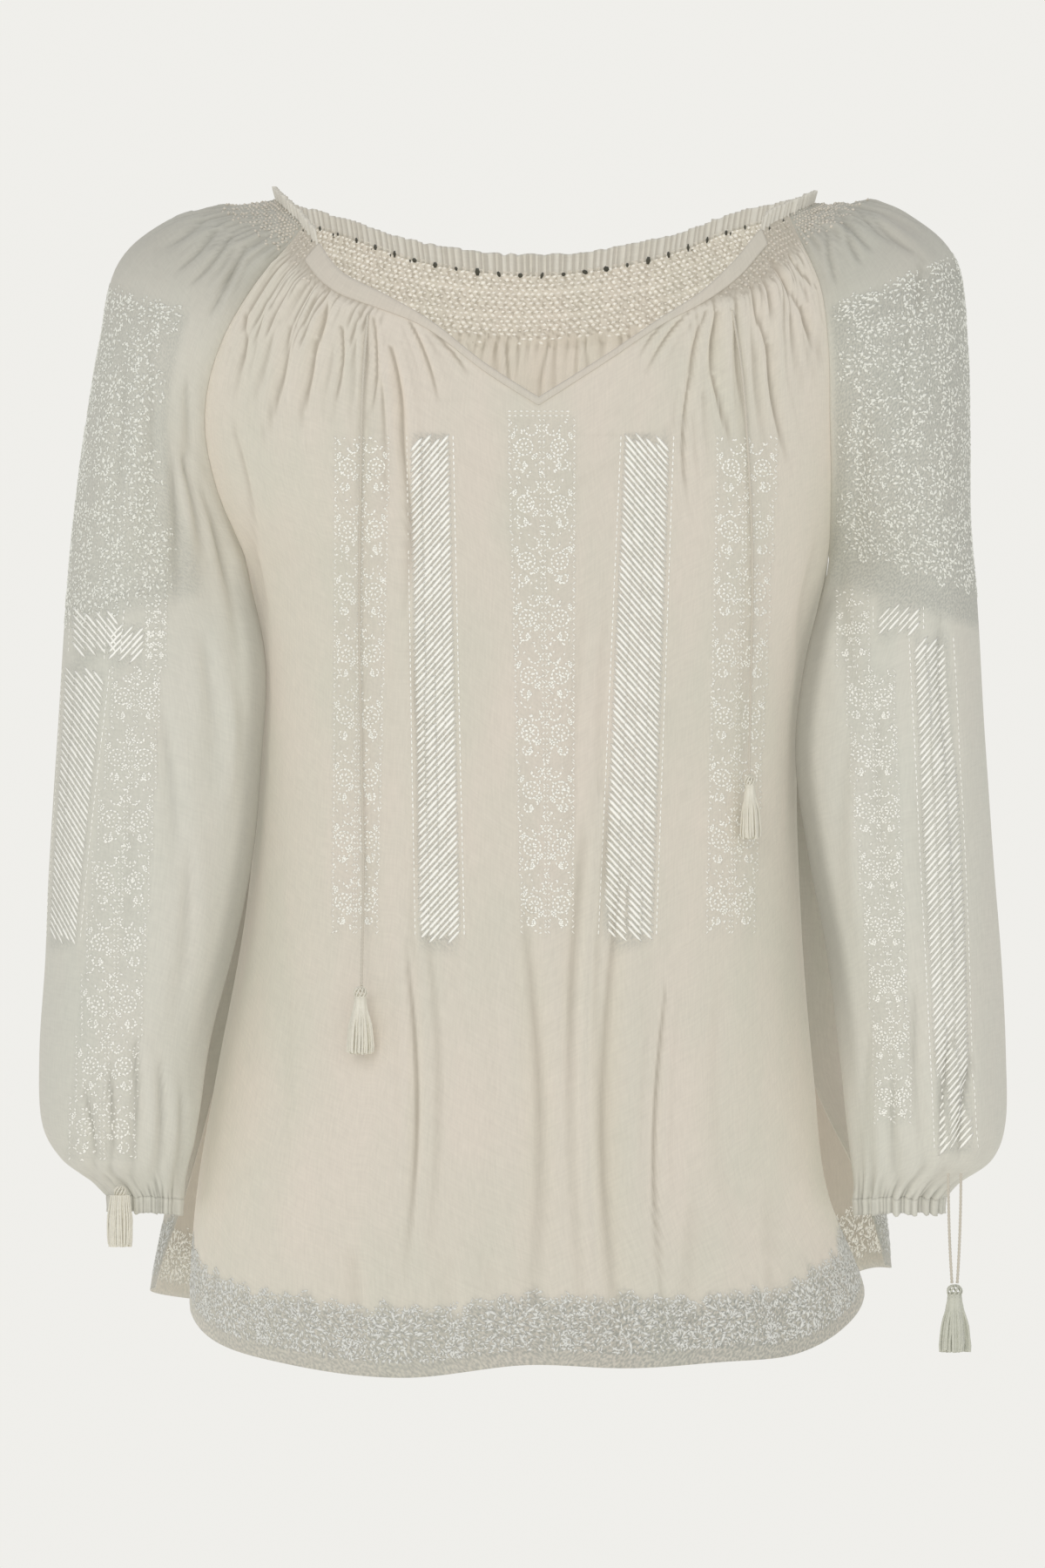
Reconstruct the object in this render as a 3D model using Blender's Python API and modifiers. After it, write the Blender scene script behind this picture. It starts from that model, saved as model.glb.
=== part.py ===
"""Peasant blouse with raglan sleeves, gathered at the neck and cuffs.

The cloth is a set of open, hollow walls filled out as if worn. The front faces -Y, and the
origin is the middle of the neck at the height of the shoulders that carry the garment.
Heights in the tables are drops below that origin, and all table sizes are in millimetres.
"""

import math
from typing import NamedTuple

import bmesh
import bpy
import numpy as np
from mathutils import Vector

MM = 0.001

CLOTH_WALL = 1.2 * MM
TRIM_WALL = 1.0 * MM
SEAM_GAP = 0.3 * MM

PANEL_COLUMNS = 26
PANEL_ROWS = 18
ROW_CROWDING = 1.3
SLEEVE_COLUMNS = 20
ARMHOLE_ROWS = 8
ARM_ROWS = 11
HEADING_COLUMNS = 66
BINDING_COLUMNS = 30

UNDERARM_DROP = 197.0
SECTION_FLATNESS = 0.88

SEAM_CALM = 0.14
PLEAT_DEPTH = 1.1
PLEAT_FADE_DROP = 150.0
CUFF_PLEAT_DEPTH = 1.3

HEADING_HEIGHT = 10.0
HEADING_LIFT = 1.5
HEADING_LEAN = 0.22
SHOULDER_DIP = 0.25
OPENING_LEFT = -0.83
OPENING_POINT = 0.053
OPENING_RIGHT = 0.80

BINDING_EASE = 0.2

CUFF_HEIGHT = 8.0
CORD_DIAMETER = 1.8 * MM
CORD_POINT_SPACING = 2.6
CORD_CLEARANCE = 2.4

TASSEL_STEPS = 12


class PanelRow(NamedTuple):
    """One level of a panel: its side edges, how far it stands out, and the angle its arc turns."""

    drop: float
    x_left: float
    x_right: float
    y_side: float
    y_middle: float
    turn: float


class NeckRow(NamedTuple):
    """A place on a neckline: across the panel from -1 to 1, and how low the edge lies there."""

    across: float
    drop: float


class HemRow(NamedTuple):
    """A place on a hem: across the panel from -1 to 1, and how low the edge lies there."""

    across: float
    drop: float


class FoldRow(NamedTuple):
    """A soft fold: where it lies across the panel, where it starts and ends, its half width and height."""

    across: float
    top: float
    bottom: float
    half_width: float
    height: float


class OuterRow(NamedTuple):
    """The outside line of a sleeve, with the depth of the sleeve and how round its section is."""

    station: float
    x: float
    y: float
    drop: float
    half_depth: float
    roundness: float


class SeamRow(NamedTuple):
    """Where a sleeve station meets the raglan seams of the front and back, and the seam's trim."""

    station: float
    front_drop: float
    back_drop: float
    trim: float


class InnerRow(NamedTuple):
    """The inside line of a sleeve below the underarm."""

    station: float
    x: float
    y: float
    drop: float


class TrimRow(NamedTuple):
    """How far a panel's side edge stays back from its seam line at one level."""

    drop: float
    trim: float


class StripRow(NamedTuple):
    """The width of the binding at one place across the front."""

    across: float
    width: float


class RoutePoint(NamedTuple):
    """A place that a cord passes through, and its distance out from the cloth."""

    x: float
    drop: float
    clear: float


class TasselSize(NamedTuple):
    """A tassel's place and size: knot head on top, bound neck, then the skirt of threads."""

    x: float
    top: float
    height: float
    skirt_radius: float


FRONT_ROWS = (
    PanelRow(-5, -128, 142, -36, -80, 60),
    PanelRow(8, -133, 147, -40, -84, 60),
    PanelRow(42, -160, 162, -46, -91, 61),
    PanelRow(77, -180, 167, -47, -97, 63),
    PanelRow(117, -189, 168, -41, -103, 66),
    PanelRow(160, -182, 169, -22, -109, 69),
    PanelRow(197, -167, 168, 4, -113, 72),
    PanelRow(245, -159, 158, 8, -115, 76),
    PanelRow(300, -158, 151, 8, -114, 80),
    PanelRow(400, -166, 152, 8, -113, 80),
    PanelRow(500, -184, 160, 6, -116, 80),
    PanelRow(560, -194, 167, 0, -119, 82),
    PanelRow(620, -198, 189, -12, -121, 84),
    PanelRow(670, -197, 191, -16, -122, 84),
)

BACK_ROWS = (
    PanelRow(-5, -138, 148, 36, 74, 60),
    PanelRow(8, -144, 153, 38, 80, 60),
    PanelRow(42, -164, 165, 40, 90, 61),
    PanelRow(77, -180, 169, 40, 97, 64),
    PanelRow(117, -187, 169, 36, 101, 68),
    PanelRow(160, -181, 170, 22, 103, 74),
    PanelRow(197, -167, 168, 4, 103, 87),
    PanelRow(245, -159, 158, 8, 101, 112),
    PanelRow(300, -158, 151, 8, 99, 118),
    PanelRow(400, -166, 152, 8, 100, 120),
    PanelRow(500, -184, 160, 6, 106, 116),
    PanelRow(560, -200, 188, 6, 112, 108),
    PanelRow(620, -219, 203, 12, 120, 98),
    PanelRow(650, -222, 204, 14, 122, 96),
)

FRONT_NECK_LEFT = (
    NeckRow(-1.0, 8), NeckRow(-0.83, 20), NeckRow(-0.62, 38), NeckRow(-0.44, 50),
    NeckRow(-0.26, 66), NeckRow(-0.08, 91), NeckRow(OPENING_POINT, 108.5),
)

FRONT_NECK_RIGHT = (
    NeckRow(OPENING_POINT, 108.5), NeckRow(0.23, 83), NeckRow(0.37, 63), NeckRow(0.48, 50),
    NeckRow(0.62, 32), NeckRow(0.80, 12), NeckRow(1.0, 2),
)

BACK_NECK = (
    NeckRow(-1.0, 0), NeckRow(-0.67, 10.5), NeckRow(-0.35, 24.5), NeckRow(0.0, 31),
    NeckRow(0.33, 23), NeckRow(0.67, 6), NeckRow(1.0, -2),
)

FRONT_HEM = (
    HemRow(-1.0, 625), HemRow(-0.86, 640), HemRow(-0.55, 656.5), HemRow(-0.25, 664), HemRow(0.0, 656.5),
    HemRow(0.2, 658.5), HemRow(0.4, 655.5), HemRow(0.6, 652), HemRow(0.86, 630.5), HemRow(1.0, 616),
)

BACK_HEM = (
    HemRow(-1.0, 617), HemRow(-0.85, 620.5), HemRow(-0.62, 626), HemRow(0.0, 641), HemRow(0.5, 623),
    HemRow(0.7, 608), HemRow(0.9, 606), HemRow(1.0, 604),
)

FRONT_FOLDS = (
    FoldRow(-0.84, 120, 640, 0.13, 2.6), FoldRow(-0.56, 90, 560, 0.12, 2.0),
    FoldRow(-0.24, 110, 660, 0.15, 3.0), FoldRow(0.02, 300, 660, 0.13, 2.2),
    FoldRow(0.27, 130, 670, 0.14, 3.2), FoldRow(0.52, 80, 520, 0.12, 2.2),
    FoldRow(0.80, 110, 620, 0.13, 2.8),
)

BACK_FOLDS = (
    FoldRow(-0.78, 140, 630, 0.14, 2.8), FoldRow(-0.48, 80, 560, 0.13, 2.2),
    FoldRow(-0.14, 120, 650, 0.15, 3.0), FoldRow(0.2, 90, 600, 0.13, 2.4),
    FoldRow(0.5, 110, 650, 0.15, 3.0), FoldRow(0.80, 130, 600, 0.13, 2.4),
)

SIDE_TRIM = (
    TrimRow(-5, 0.8), TrimRow(60, 1.1), TrimRow(110, 1.9), TrimRow(160, 2.6), TrimRow(197, 2.6),
    TrimRow(230, 1.3), TrimRow(260, 0.8), TrimRow(400, 0.6), TrimRow(670, 0.6),
)

LEFT_OUTER = (
    OuterRow(0, -148, 2, -7, 0, 1.0), OuterRow(1, -180, 3, -2, 2, 1.0), OuterRow(2, -213, 2, 6, 6, 1.0),
    OuterRow(3, -240, 0, 30, 12, 1.05), OuterRow(4, -250.5, -2, 77, 21, 1.1),
    OuterRow(5, -258.5, -5, 127, 32, 1.15), OuterRow(6, -263.5, -9, 177, 43, 1.2),
    OuterRow(7, -268, -14, 227, 51, 1.3), OuterRow(8, -272.5, -20, 280, 56, 1.6),
    OuterRow(9, -276.5, -25, 330, 59, 1.85), OuterRow(10, -279, -29, 380, 61, 2.0),
    OuterRow(11, -280, -32, 430, 63, 2.0), OuterRow(12, -283, -34, 480, 64, 2.0),
    OuterRow(13, -282, -35, 520, 59, 2.0), OuterRow(14, -271, -35, 540, 47, 2.0),
    OuterRow(15, -253, -35, 552, 36, 2.0), OuterRow(16, -243, -35, 560, 30, 2.0),
)

LEFT_SEAMS = (
    SeamRow(0, 8, 0, 0.5), SeamRow(1, 24, 14, 0.8), SeamRow(2, 40, 30, 0.9), SeamRow(3, 58, 52, 1.0),
    SeamRow(4, 84, 84, 1.5), SeamRow(5, 128, 128, 2.0), SeamRow(6, 168, 168, 2.6),
    SeamRow(7, UNDERARM_DROP, UNDERARM_DROP, 2.9),
)

LEFT_INNER = (
    InnerRow(7, -169, -6, 201), InnerRow(8, -156, -17, 256), InnerRow(9, -157, -20, 310),
    InnerRow(10, -162, -26, 365), InnerRow(11, -172, -31, 418), InnerRow(12, -186, -32, 472),
    InnerRow(13, -193, -33, 518), InnerRow(14, -199, -34, 543), InnerRow(15, -202, -34, 556),
    InnerRow(16, -204, -34, 564),
)

RIGHT_OUTER = (
    OuterRow(0, 159, 2, -5, 0, 1.0), OuterRow(1, 188, 3, -4, 2, 1.0), OuterRow(2, 214, 2, 3, 6, 1.0),
    OuterRow(3, 241, 0, 27, 12, 1.05), OuterRow(4, 248, -2, 77, 21, 1.1),
    OuterRow(5, 249, -5, 127, 31, 1.15), OuterRow(6, 248, -9, 177, 40, 1.2),
    OuterRow(7, 252, -14, 227, 47, 1.3), OuterRow(8, 256, -20, 280, 52, 1.6),
    OuterRow(9, 260, -25, 330, 55, 1.85), OuterRow(10, 263, -29, 380, 57, 2.0),
    OuterRow(11, 266, -32, 430, 59, 2.0), OuterRow(12, 268, -34, 480, 60, 2.0),
    OuterRow(13, 268, -35, 520, 56, 2.0), OuterRow(14, 260, -35, 541, 45, 2.0),
    OuterRow(15, 241, -35, 553, 36, 2.0), OuterRow(16, 232, -35, 561, 30, 2.0),
)

RIGHT_SEAMS = (
    SeamRow(0, 2, -2, 0.5), SeamRow(1, 20, 12, 0.6), SeamRow(2, 37, 28, 0.8), SeamRow(3, 56, 50, 1.0),
    SeamRow(4, 84, 84, 1.5), SeamRow(5, 128, 128, 2.0), SeamRow(6, 168, 168, 2.6),
    SeamRow(7, UNDERARM_DROP, UNDERARM_DROP, 2.9),
)

RIGHT_INNER = (
    InnerRow(7, 169.5, -6, 201), InnerRow(8, 155, -17, 256), InnerRow(9, 149, -20, 310),
    InnerRow(10, 156, -26, 365), InnerRow(11, 166, -31, 418), InnerRow(12, 173, -32, 472),
    InnerRow(13, 178, -33, 518), InnerRow(14, 181, -34, 543), InnerRow(15, 183, -34, 556),
    InnerRow(16, 184, -34, 564),
)

BINDING = (
    StripRow(OPENING_LEFT, 9.0), StripRow(-0.5, 8.0), StripRow(-0.3, 4.5), StripRow(OPENING_POINT, 4.0),
    StripRow(0.4, 4.0), StripRow(0.6, 8.0), StripRow(OPENING_RIGHT, 8.0),
)

LEFT_NECK_ROUTE = (
    RoutePoint(-95.5, 61, 1.0), RoutePoint(-98, 95, 1.4), RoutePoint(-99.5, 150, 1.0),
    RoutePoint(-100.5, 230, 1.0), RoutePoint(-99, 320, 1.0), RoutePoint(-98, 380, 2.0),
    RoutePoint(-99.5, 442, 10.0),
)

RIGHT_NECK_ROUTE = (
    RoutePoint(112, 58, 1.0), RoutePoint(117, 90, 1.4), RoutePoint(121, 140, 1.0),
    RoutePoint(123.5, 200, 1.0), RoutePoint(123, 260, 2.0), RoutePoint(122, 322, 7.0),
)

LEFT_NECK_TASSEL = TasselSize(-99.5, 442, 39, 8.0)
RIGHT_NECK_TASSEL = TasselSize(122, 322, 37, 6.5)
LEFT_CUFF_TASSEL = TasselSize(-236.5, 556, 35, 7.5)
RIGHT_CUFF_TASSEL = TasselSize(238.5, 612, 39, 9.5)

CUFF_CORD_X = 238.5
CUFF_CORD_Y = -76.0
CUFF_CORD_TOP = 549.0
CUFF_CORD_HALF_SPREAD = 3.6
CUFF_CORD_FOOT_SPREAD = 1.5
LEFT_CUFF_TASSEL_Y = -76.0


def smooth_columns(rows, places):
    """Read a table's columns at the places given, along smooth curves through its rows."""
    table = np.array(rows, dtype=float)
    keys = table[:, 0]
    places = np.clip(np.asarray(places, dtype=float), keys[0], keys[-1])
    slopes = np.gradient(table, keys, axis=0)
    below = np.clip(np.searchsorted(keys, places, side="right") - 1, 0, len(keys) - 2)
    span = keys[below + 1] - keys[below]
    part = ((places - keys[below]) / span)[..., None]
    span = span[..., None]
    start = table[below] * (1 + 2 * part) * (1 - part) ** 2
    start_slope = slopes[below] * span * part * (1 - part) ** 2
    end = table[below + 1] * part ** 2 * (3 - 2 * part)
    end_slope = slopes[below + 1] * span * part ** 2 * (part - 1)
    columns = start + start_slope + end + end_slope
    return [columns[..., index] for index in range(1, table.shape[1])]


def panel_points(rows, across, drop, out=0.0):
    """Points of a panel surface, in millimetres, at places across it (-1 to 1) and drops.

    The section of each level is a flattened arc from one side edge to the other, and out moves
    the points away from the hollow.
    """
    x_left, x_right, y_side, y_middle, turn = smooth_columns(rows, drop)
    turn = np.radians(turn)
    angle = across * turn
    facing = np.sign(y_middle - y_side)
    middle = 0.5 * (x_left + x_right)
    half = 0.5 * (x_right - x_left)
    bow = np.clip((np.cos(angle) - np.cos(turn)) / (1 - np.cos(turn)), 0, 1) ** SECTION_FLATNESS
    x = middle + half * np.sin(angle) / np.sin(turn) + out * np.sin(angle)
    y = y_side + (y_middle - y_side) * bow + out * facing * np.cos(angle)
    return np.stack([x, y, -np.asarray(drop, dtype=float)], axis=-1)


def across_at_x(rows, x, drop):
    """The place across a panel, from -1 to 1, whose point lies at x at the drop given."""
    x_left, x_right, _, _, turn = smooth_columns(rows, drop)
    turn = np.radians(turn)
    middle = 0.5 * (x_left + x_right)
    half = 0.5 * (x_right - x_left)
    return np.arcsin((x - middle) / half * np.sin(turn)) / turn


def fold_height(folds, across, drop):
    """The height of the soft folds at places on a panel."""
    height = np.zeros(np.broadcast(across, drop).shape)
    for fold in folds:
        swell = np.exp(-((across - fold.across) / fold.half_width) ** 2)
        along = np.clip((drop - fold.top) / (fold.bottom - fold.top), 0, 1)
        height = height + fold.height * swell * np.sin(math.pi * along) ** 0.7
    return height * np.clip((1 - np.abs(across)) / SEAM_CALM, 0, 1)


def pleat_height(column_count, drop):
    """Alternate ridges of the gathered neck, dying out below the chest and at the seams."""
    columns = np.arange(column_count)
    ridges = np.where(columns % 2 == 0, 1.0, -1.0)
    ridges[:2] = 0.0
    ridges[-2:] = 0.0
    fade = np.clip(1 - drop / PLEAT_FADE_DROP, 0, 1)
    return PLEAT_DEPTH * ridges * fade


def front_neck_drop(across):
    """How low the front neckline lies, with a sharp point at the foot of the opening."""
    left, = smooth_columns(FRONT_NECK_LEFT, np.minimum(across, OPENING_POINT))
    right, = smooth_columns(FRONT_NECK_RIGHT, np.maximum(across, OPENING_POINT))
    return np.where(across < OPENING_POINT, left, right)


def back_neck_drop(across):
    """How low the back neckline lies."""
    return smooth_columns(BACK_NECK, across)[0]


def panel_grid(rows, neck_drop, hem, folds, split):
    """A panel's points, row by row from neck to hem, with one column on the split."""
    half = PANEL_COLUMNS // 2
    across = np.concatenate([np.linspace(-1, split, half + 1), np.linspace(split, 1, half + 1)[1:]])
    top = neck_drop(across)
    bottom, = smooth_columns(hem, across)
    steps = np.linspace(0, 1, PANEL_ROWS) ** ROW_CROWDING
    drop = top[None, :] + (bottom - top)[None, :] * steps[:, None]
    trim, = smooth_columns(SIDE_TRIM, drop)
    x_left, x_right, _, _, turn = smooth_columns(rows, drop)
    arc = 0.5 * (x_right - x_left) * np.radians(turn)
    place = across[None, :] * (1 - trim / arc)
    out = fold_height(folds, place, drop) + pleat_height(len(across), drop)
    return panel_points(rows, place, drop, out)


def raglan_points(rows, side, drop):
    """Points of a raglan seam line on one panel; side is -1 or 1."""
    return panel_points(rows, np.full(np.shape(drop), float(side)), drop)


def sleeve_section(outer, front, back, around):
    """One ring of a sleeve from its front seam point, over the outside, to its back seam point."""
    x, y, drop, half_depth, roundness = outer
    crown = np.array([x, y, -drop])
    middle = 0.5 * (front + back)
    reach = np.sin(math.pi * around) ** roundness
    swing = 0.5 * np.cos(math.pi * around)
    belly = half_depth * np.sin(2 * math.pi * around)
    points = middle + reach[:, None] * (crown - middle) + swing[:, None] * (front - back)
    points[:, 1] -= belly
    return points


def sleeve_grid(outer_rows, seam_rows, inner_rows, side):
    """A sleeve's points, row by row from the neck edge to the mouth, front seam to back seam."""
    underarm = seam_rows[-1].station
    armhole = np.linspace(0, underarm - 0.12, ARMHOLE_ROWS)
    arm = np.linspace(underarm + 0.1, outer_rows[-1].station, ARM_ROWS)
    even = np.linspace(0, 1, SLEEVE_COLUMNS + 1)
    grid = []
    for station in armhole:
        front_drop, back_drop, trim = (float(v) for v in smooth_columns(seam_rows, station))
        front = raglan_points(FRONT_ROWS, side, front_drop)
        back = raglan_points(BACK_ROWS, side, back_drop)
        outer = [float(v) for v in smooth_columns(outer_rows, station)]
        rough = sleeve_section(outer, front, back, np.linspace(0, 1, 201))
        lengths = np.concatenate([[0], np.cumsum(np.linalg.norm(np.diff(rough, axis=0), axis=1))])
        kept = np.interp([trim, lengths[-1] - trim], lengths, np.linspace(0, 1, 201))
        grid.append(sleeve_section(outer, front, back, kept[0] + (kept[1] - kept[0]) * even))
    for station in arm:
        inner_x, inner_y, inner_drop = (float(v) for v in smooth_columns(inner_rows, station))
        inner = np.array([inner_x, inner_y, -inner_drop])
        outer = [float(v) for v in smooth_columns(outer_rows, station)]
        grid.append(sleeve_section(outer, inner, inner, even))
    return gather_cuff(np.array(grid))


def gather_cuff(grid):
    """Pleat the last rows of a sleeve grid where the cuff gathers it."""
    ridges = np.where(np.arange(grid.shape[1]) % 2 == 0, -1.0, 1.0)
    gathered = grid.copy()
    for rows_up, share in ((0, 1.0), (1, 0.8), (2, 0.4)):
        ring = grid[-1 - rows_up]
        centre = ring.mean(axis=0)
        away = (ring - centre) / np.linalg.norm(ring - centre, axis=1)[:, None]
        gathered[-1 - rows_up] = ring + away * (ridges * share * CUFF_PLEAT_DEPTH)[:, None]
    return gathered


def cuff_grid(sleeve):
    """A narrow band that carries the mouth of a sleeve on downwards."""
    mouth = sleeve[-1]
    centre = mouth.mean(axis=0)
    upper = mouth + np.array([0, 0, -(CLOTH_WALL + SEAM_GAP) / MM])
    lower = upper + (centre - mouth) * 0.02 + np.array([0, 0, -CUFF_HEIGHT])
    return np.array([upper, lower])


def neck_edge():
    """The gathered neck edge, from the left head of the opening round the back to the right head."""
    left_front = np.linspace(OPENING_LEFT, -0.995, 5)
    right_front = np.linspace(0.995, OPENING_RIGHT, 5)
    across = np.linspace(-0.985, 0.985, 34)
    over = np.linspace(0.02, 0.98, 11)
    parts = [panel_points(FRONT_ROWS, left_front, front_neck_drop(left_front))]
    parts.append(neck_end_of_sleeve(LEFT_OUTER, LEFT_SEAMS, -1, over))
    parts.append(panel_points(BACK_ROWS, across, back_neck_drop(across)))
    parts.append(neck_end_of_sleeve(RIGHT_OUTER, RIGHT_SEAMS, 1, over)[::-1])
    parts.append(panel_points(FRONT_ROWS, right_front, front_neck_drop(right_front)))
    return np.concatenate(parts)


def neck_end_of_sleeve(outer_rows, seam_rows, side, around):
    """The edge of a sleeve at the neck, from the front seam to the back seam."""
    seam = seam_rows[0]
    front = raglan_points(FRONT_ROWS, side, seam.front_drop)
    back = raglan_points(BACK_ROWS, side, seam.back_drop)
    return sleeve_section(outer_rows[0][1:], front, back, around)


def even_path(points, count):
    """The same path with evenly spaced points."""
    steps = np.linalg.norm(np.diff(points, axis=0), axis=1)
    lengths = np.concatenate([[0], np.cumsum(steps)])
    places = np.linspace(0, lengths[-1], count)
    return np.stack([np.interp(places, lengths, points[:, axis]) for axis in range(3)], axis=-1)


def heading_grid():
    """The standing heading: two rows of pleated points on the neck edge, leaning outward."""
    foot = even_path(neck_edge(), HEADING_COLUMNS)
    centre = np.array([foot[:, 0].mean(), 0.0])
    away = foot[:, :2] - centre
    away /= np.linalg.norm(away, axis=1)[:, None]
    ridges = np.where(np.arange(HEADING_COLUMNS) % 2 == 0, 0.5, -0.5)
    foot[:, 2] += HEADING_LIFT
    rim = foot.copy()
    height = HEADING_HEIGHT * (1 - SHOULDER_DIP * away[:, 0] ** 6)
    rim[:, :2] += away * (height * HEADING_LEAN + ridges)[:, None]
    rim[:, 2] += height
    return np.array([rim, foot])


def binding_grid():
    """The strip along both edges of the neck opening, lying on the front panel."""
    half = BINDING_COLUMNS // 2
    left = np.linspace(OPENING_LEFT, OPENING_POINT, half + 1)
    right = np.linspace(OPENING_POINT, OPENING_RIGHT, half + 1)
    across = np.concatenate([left, right[1:]])
    width, = smooth_columns(BINDING, across)
    out = 0.5 * (CLOTH_WALL + TRIM_WALL) / MM + SEAM_GAP / MM + PLEAT_DEPTH + BINDING_EASE
    edge = front_neck_drop(across)
    upper = panel_points(FRONT_ROWS, across, edge, out)
    lower = panel_points(FRONT_ROWS, across, edge + width, out)
    return np.array([upper, lower])


def neck_cord_path(route):
    """A neck cord's centreline: a smooth curve through its route, lying in front of the panel."""
    keys = np.array([(p.drop, p.x, p.clear) for p in route], dtype=float)
    count = int((keys[-1, 0] - keys[0, 0]) / CORD_POINT_SPACING / 2) + 1
    drop = np.linspace(keys[0, 0], keys[-1, 0], count)
    x, clear = smooth_columns(keys, drop)
    across = across_at_x(FRONT_ROWS, x, drop)
    out = clear + CORD_CLEARANCE + fold_height(FRONT_FOLDS, across, drop)
    turn = np.radians(smooth_columns(FRONT_ROWS, drop)[-1])
    across = across_at_x(FRONT_ROWS, x - out * np.sin(across * turn), drop)
    return panel_points(FRONT_ROWS, across, drop, out)


def cuff_cord_path(side):
    """One strand of the right cuff cord, from under the gathered cuff to its tassel."""
    foot = RIGHT_CUFF_TASSEL.top - SEAM_GAP / MM
    part = np.linspace(0, 1, 16)
    spread = CUFF_CORD_HALF_SPREAD + (CUFF_CORD_FOOT_SPREAD - CUFF_CORD_HALF_SPREAD) * part ** 2
    x = CUFF_CORD_X + side * spread
    y = np.full(part.shape, CUFF_CORD_Y)
    z = -(CUFF_CORD_TOP + (foot - CUFF_CORD_TOP) * part)
    return np.stack([x, y, z], axis=-1)


def new_material(name, colour, roughness):
    """A plain cloth material."""
    material = bpy.data.materials.new(name)
    material.use_nodes = True
    shader = material.node_tree.nodes["Principled BSDF"]
    shader.inputs["Base Color"].default_value = (*colour, 1.0)
    shader.inputs["Roughness"].default_value = roughness
    shader.inputs["Metallic"].default_value = 0.0
    return material


def add_cloth(name, grid, wall, colour, collection):
    """A cloth wall skinned over rows of points, with coincident edge points welded."""
    rows, columns = grid.shape[:2]
    mesh = bpy.data.meshes.new(name)
    faces = []
    for row in range(rows - 1):
        for column in range(columns - 1):
            corner = row * columns + column
            faces.append((corner, corner + columns, corner + columns + 1, corner + 1))
    mesh.from_pydata([tuple(p) for p in grid.reshape(-1, 3) * MM], [], faces)
    skin = bmesh.new()
    skin.from_mesh(mesh)
    bmesh.ops.remove_doubles(skin, verts=skin.verts, dist=1e-5)
    skin.to_mesh(mesh)
    skin.free()
    mesh.shade_smooth()
    mesh.materials.append(new_material(name, colour, 0.85))
    cloth = bpy.data.objects.new(name, mesh)
    collection.objects.link(cloth)
    solidify = cloth.modifiers.new("wall", "SOLIDIFY")
    solidify.thickness = wall
    solidify.offset = 0.0
    return cloth


def add_cord(name, points, colour, collection):
    """A cord as a thin round tube along its centreline."""
    curve = bpy.data.curves.new(name, "CURVE")
    curve.dimensions = "3D"
    curve.bevel_depth = 0.5 * CORD_DIAMETER
    curve.bevel_resolution = 2
    curve.use_fill_caps = True
    spline = curve.splines.new("POLY")
    spline.points.add(len(points) - 1)
    for target, point in zip(spline.points, points * MM):
        target.co = (*point, 1.0)
    curve.materials.append(new_material(name, colour, 0.8))
    cord = bpy.data.objects.new(name, curve)
    collection.objects.link(cord)
    return cord


def add_tassel(name, size, y, colour, collection):
    """A tassel turned about its own axis: round head, bound neck and a skirt of threads."""
    radius = size.skirt_radius
    profile = (
        (0.0, 0.0), (0.45 * radius, -0.03), (0.62 * radius, -0.12), (0.40 * radius, -0.22),
        (0.55 * radius, -0.34), (0.86 * radius, -0.62), (radius, -0.97), (0.93 * radius, -1.0), (0.0, -1.0),
    )
    mesh = bpy.data.meshes.new(name)
    heights = [(r * MM, 0.0, h * size.height * MM) for r, h in profile]
    mesh.from_pydata(heights, [(i, i + 1) for i in range(len(profile) - 1)], [])
    mesh.materials.append(new_material(name, colour, 0.8))
    tassel = bpy.data.objects.new(name, mesh)
    tassel.location = Vector((size.x, y, -size.top)) * MM
    collection.objects.link(tassel)
    screw = tassel.modifiers.new("turn", "SCREW")
    screw.steps = TASSEL_STEPS
    screw.render_steps = TASSEL_STEPS
    screw.use_merge_vertices = True
    screw.merge_threshold = 0.00001
    screw.use_smooth_shade = True
    return tassel


def clear_scene():
    """Remove everything from the scene."""
    for leftover in list(bpy.data.objects):
        bpy.data.objects.remove(leftover, do_unlink=True)


def build_panels(collection):
    """The front and back panels."""
    front = panel_grid(FRONT_ROWS, front_neck_drop, FRONT_HEM, FRONT_FOLDS, OPENING_POINT)
    add_cloth("front_panel", front, CLOTH_WALL, (0.64, 0.58, 0.50), collection)
    back = panel_grid(BACK_ROWS, back_neck_drop, BACK_HEM, BACK_FOLDS, 0.0)
    add_cloth("back_panel", back[:, ::-1], CLOTH_WALL, (0.60, 0.55, 0.47), collection)


def build_sleeves(collection):
    """Both sleeves with their cuffs."""
    sides = (
        ("left", LEFT_OUTER, LEFT_SEAMS, LEFT_INNER, -1),
        ("right", RIGHT_OUTER, RIGHT_SEAMS, RIGHT_INNER, 1),
    )
    for name, outer, seams, inner, side in sides:
        sleeve = sleeve_grid(outer, seams, inner, side)
        facing = sleeve[:, ::-1] if side < 0 else sleeve
        add_cloth(f"{name}_sleeve", facing, CLOTH_WALL, (0.62, 0.61, 0.53), collection)
        add_cloth(f"{name}_cuff", cuff_grid(facing), TRIM_WALL, (0.60, 0.59, 0.51), collection)


def build_neck(collection):
    """The heading on the neck edge and the binding of the opening."""
    add_cloth("neck_heading", heading_grid(), TRIM_WALL, (0.62, 0.59, 0.51), collection)
    add_cloth("neck_binding", binding_grid(), TRIM_WALL, (0.68, 0.63, 0.54), collection)


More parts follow.
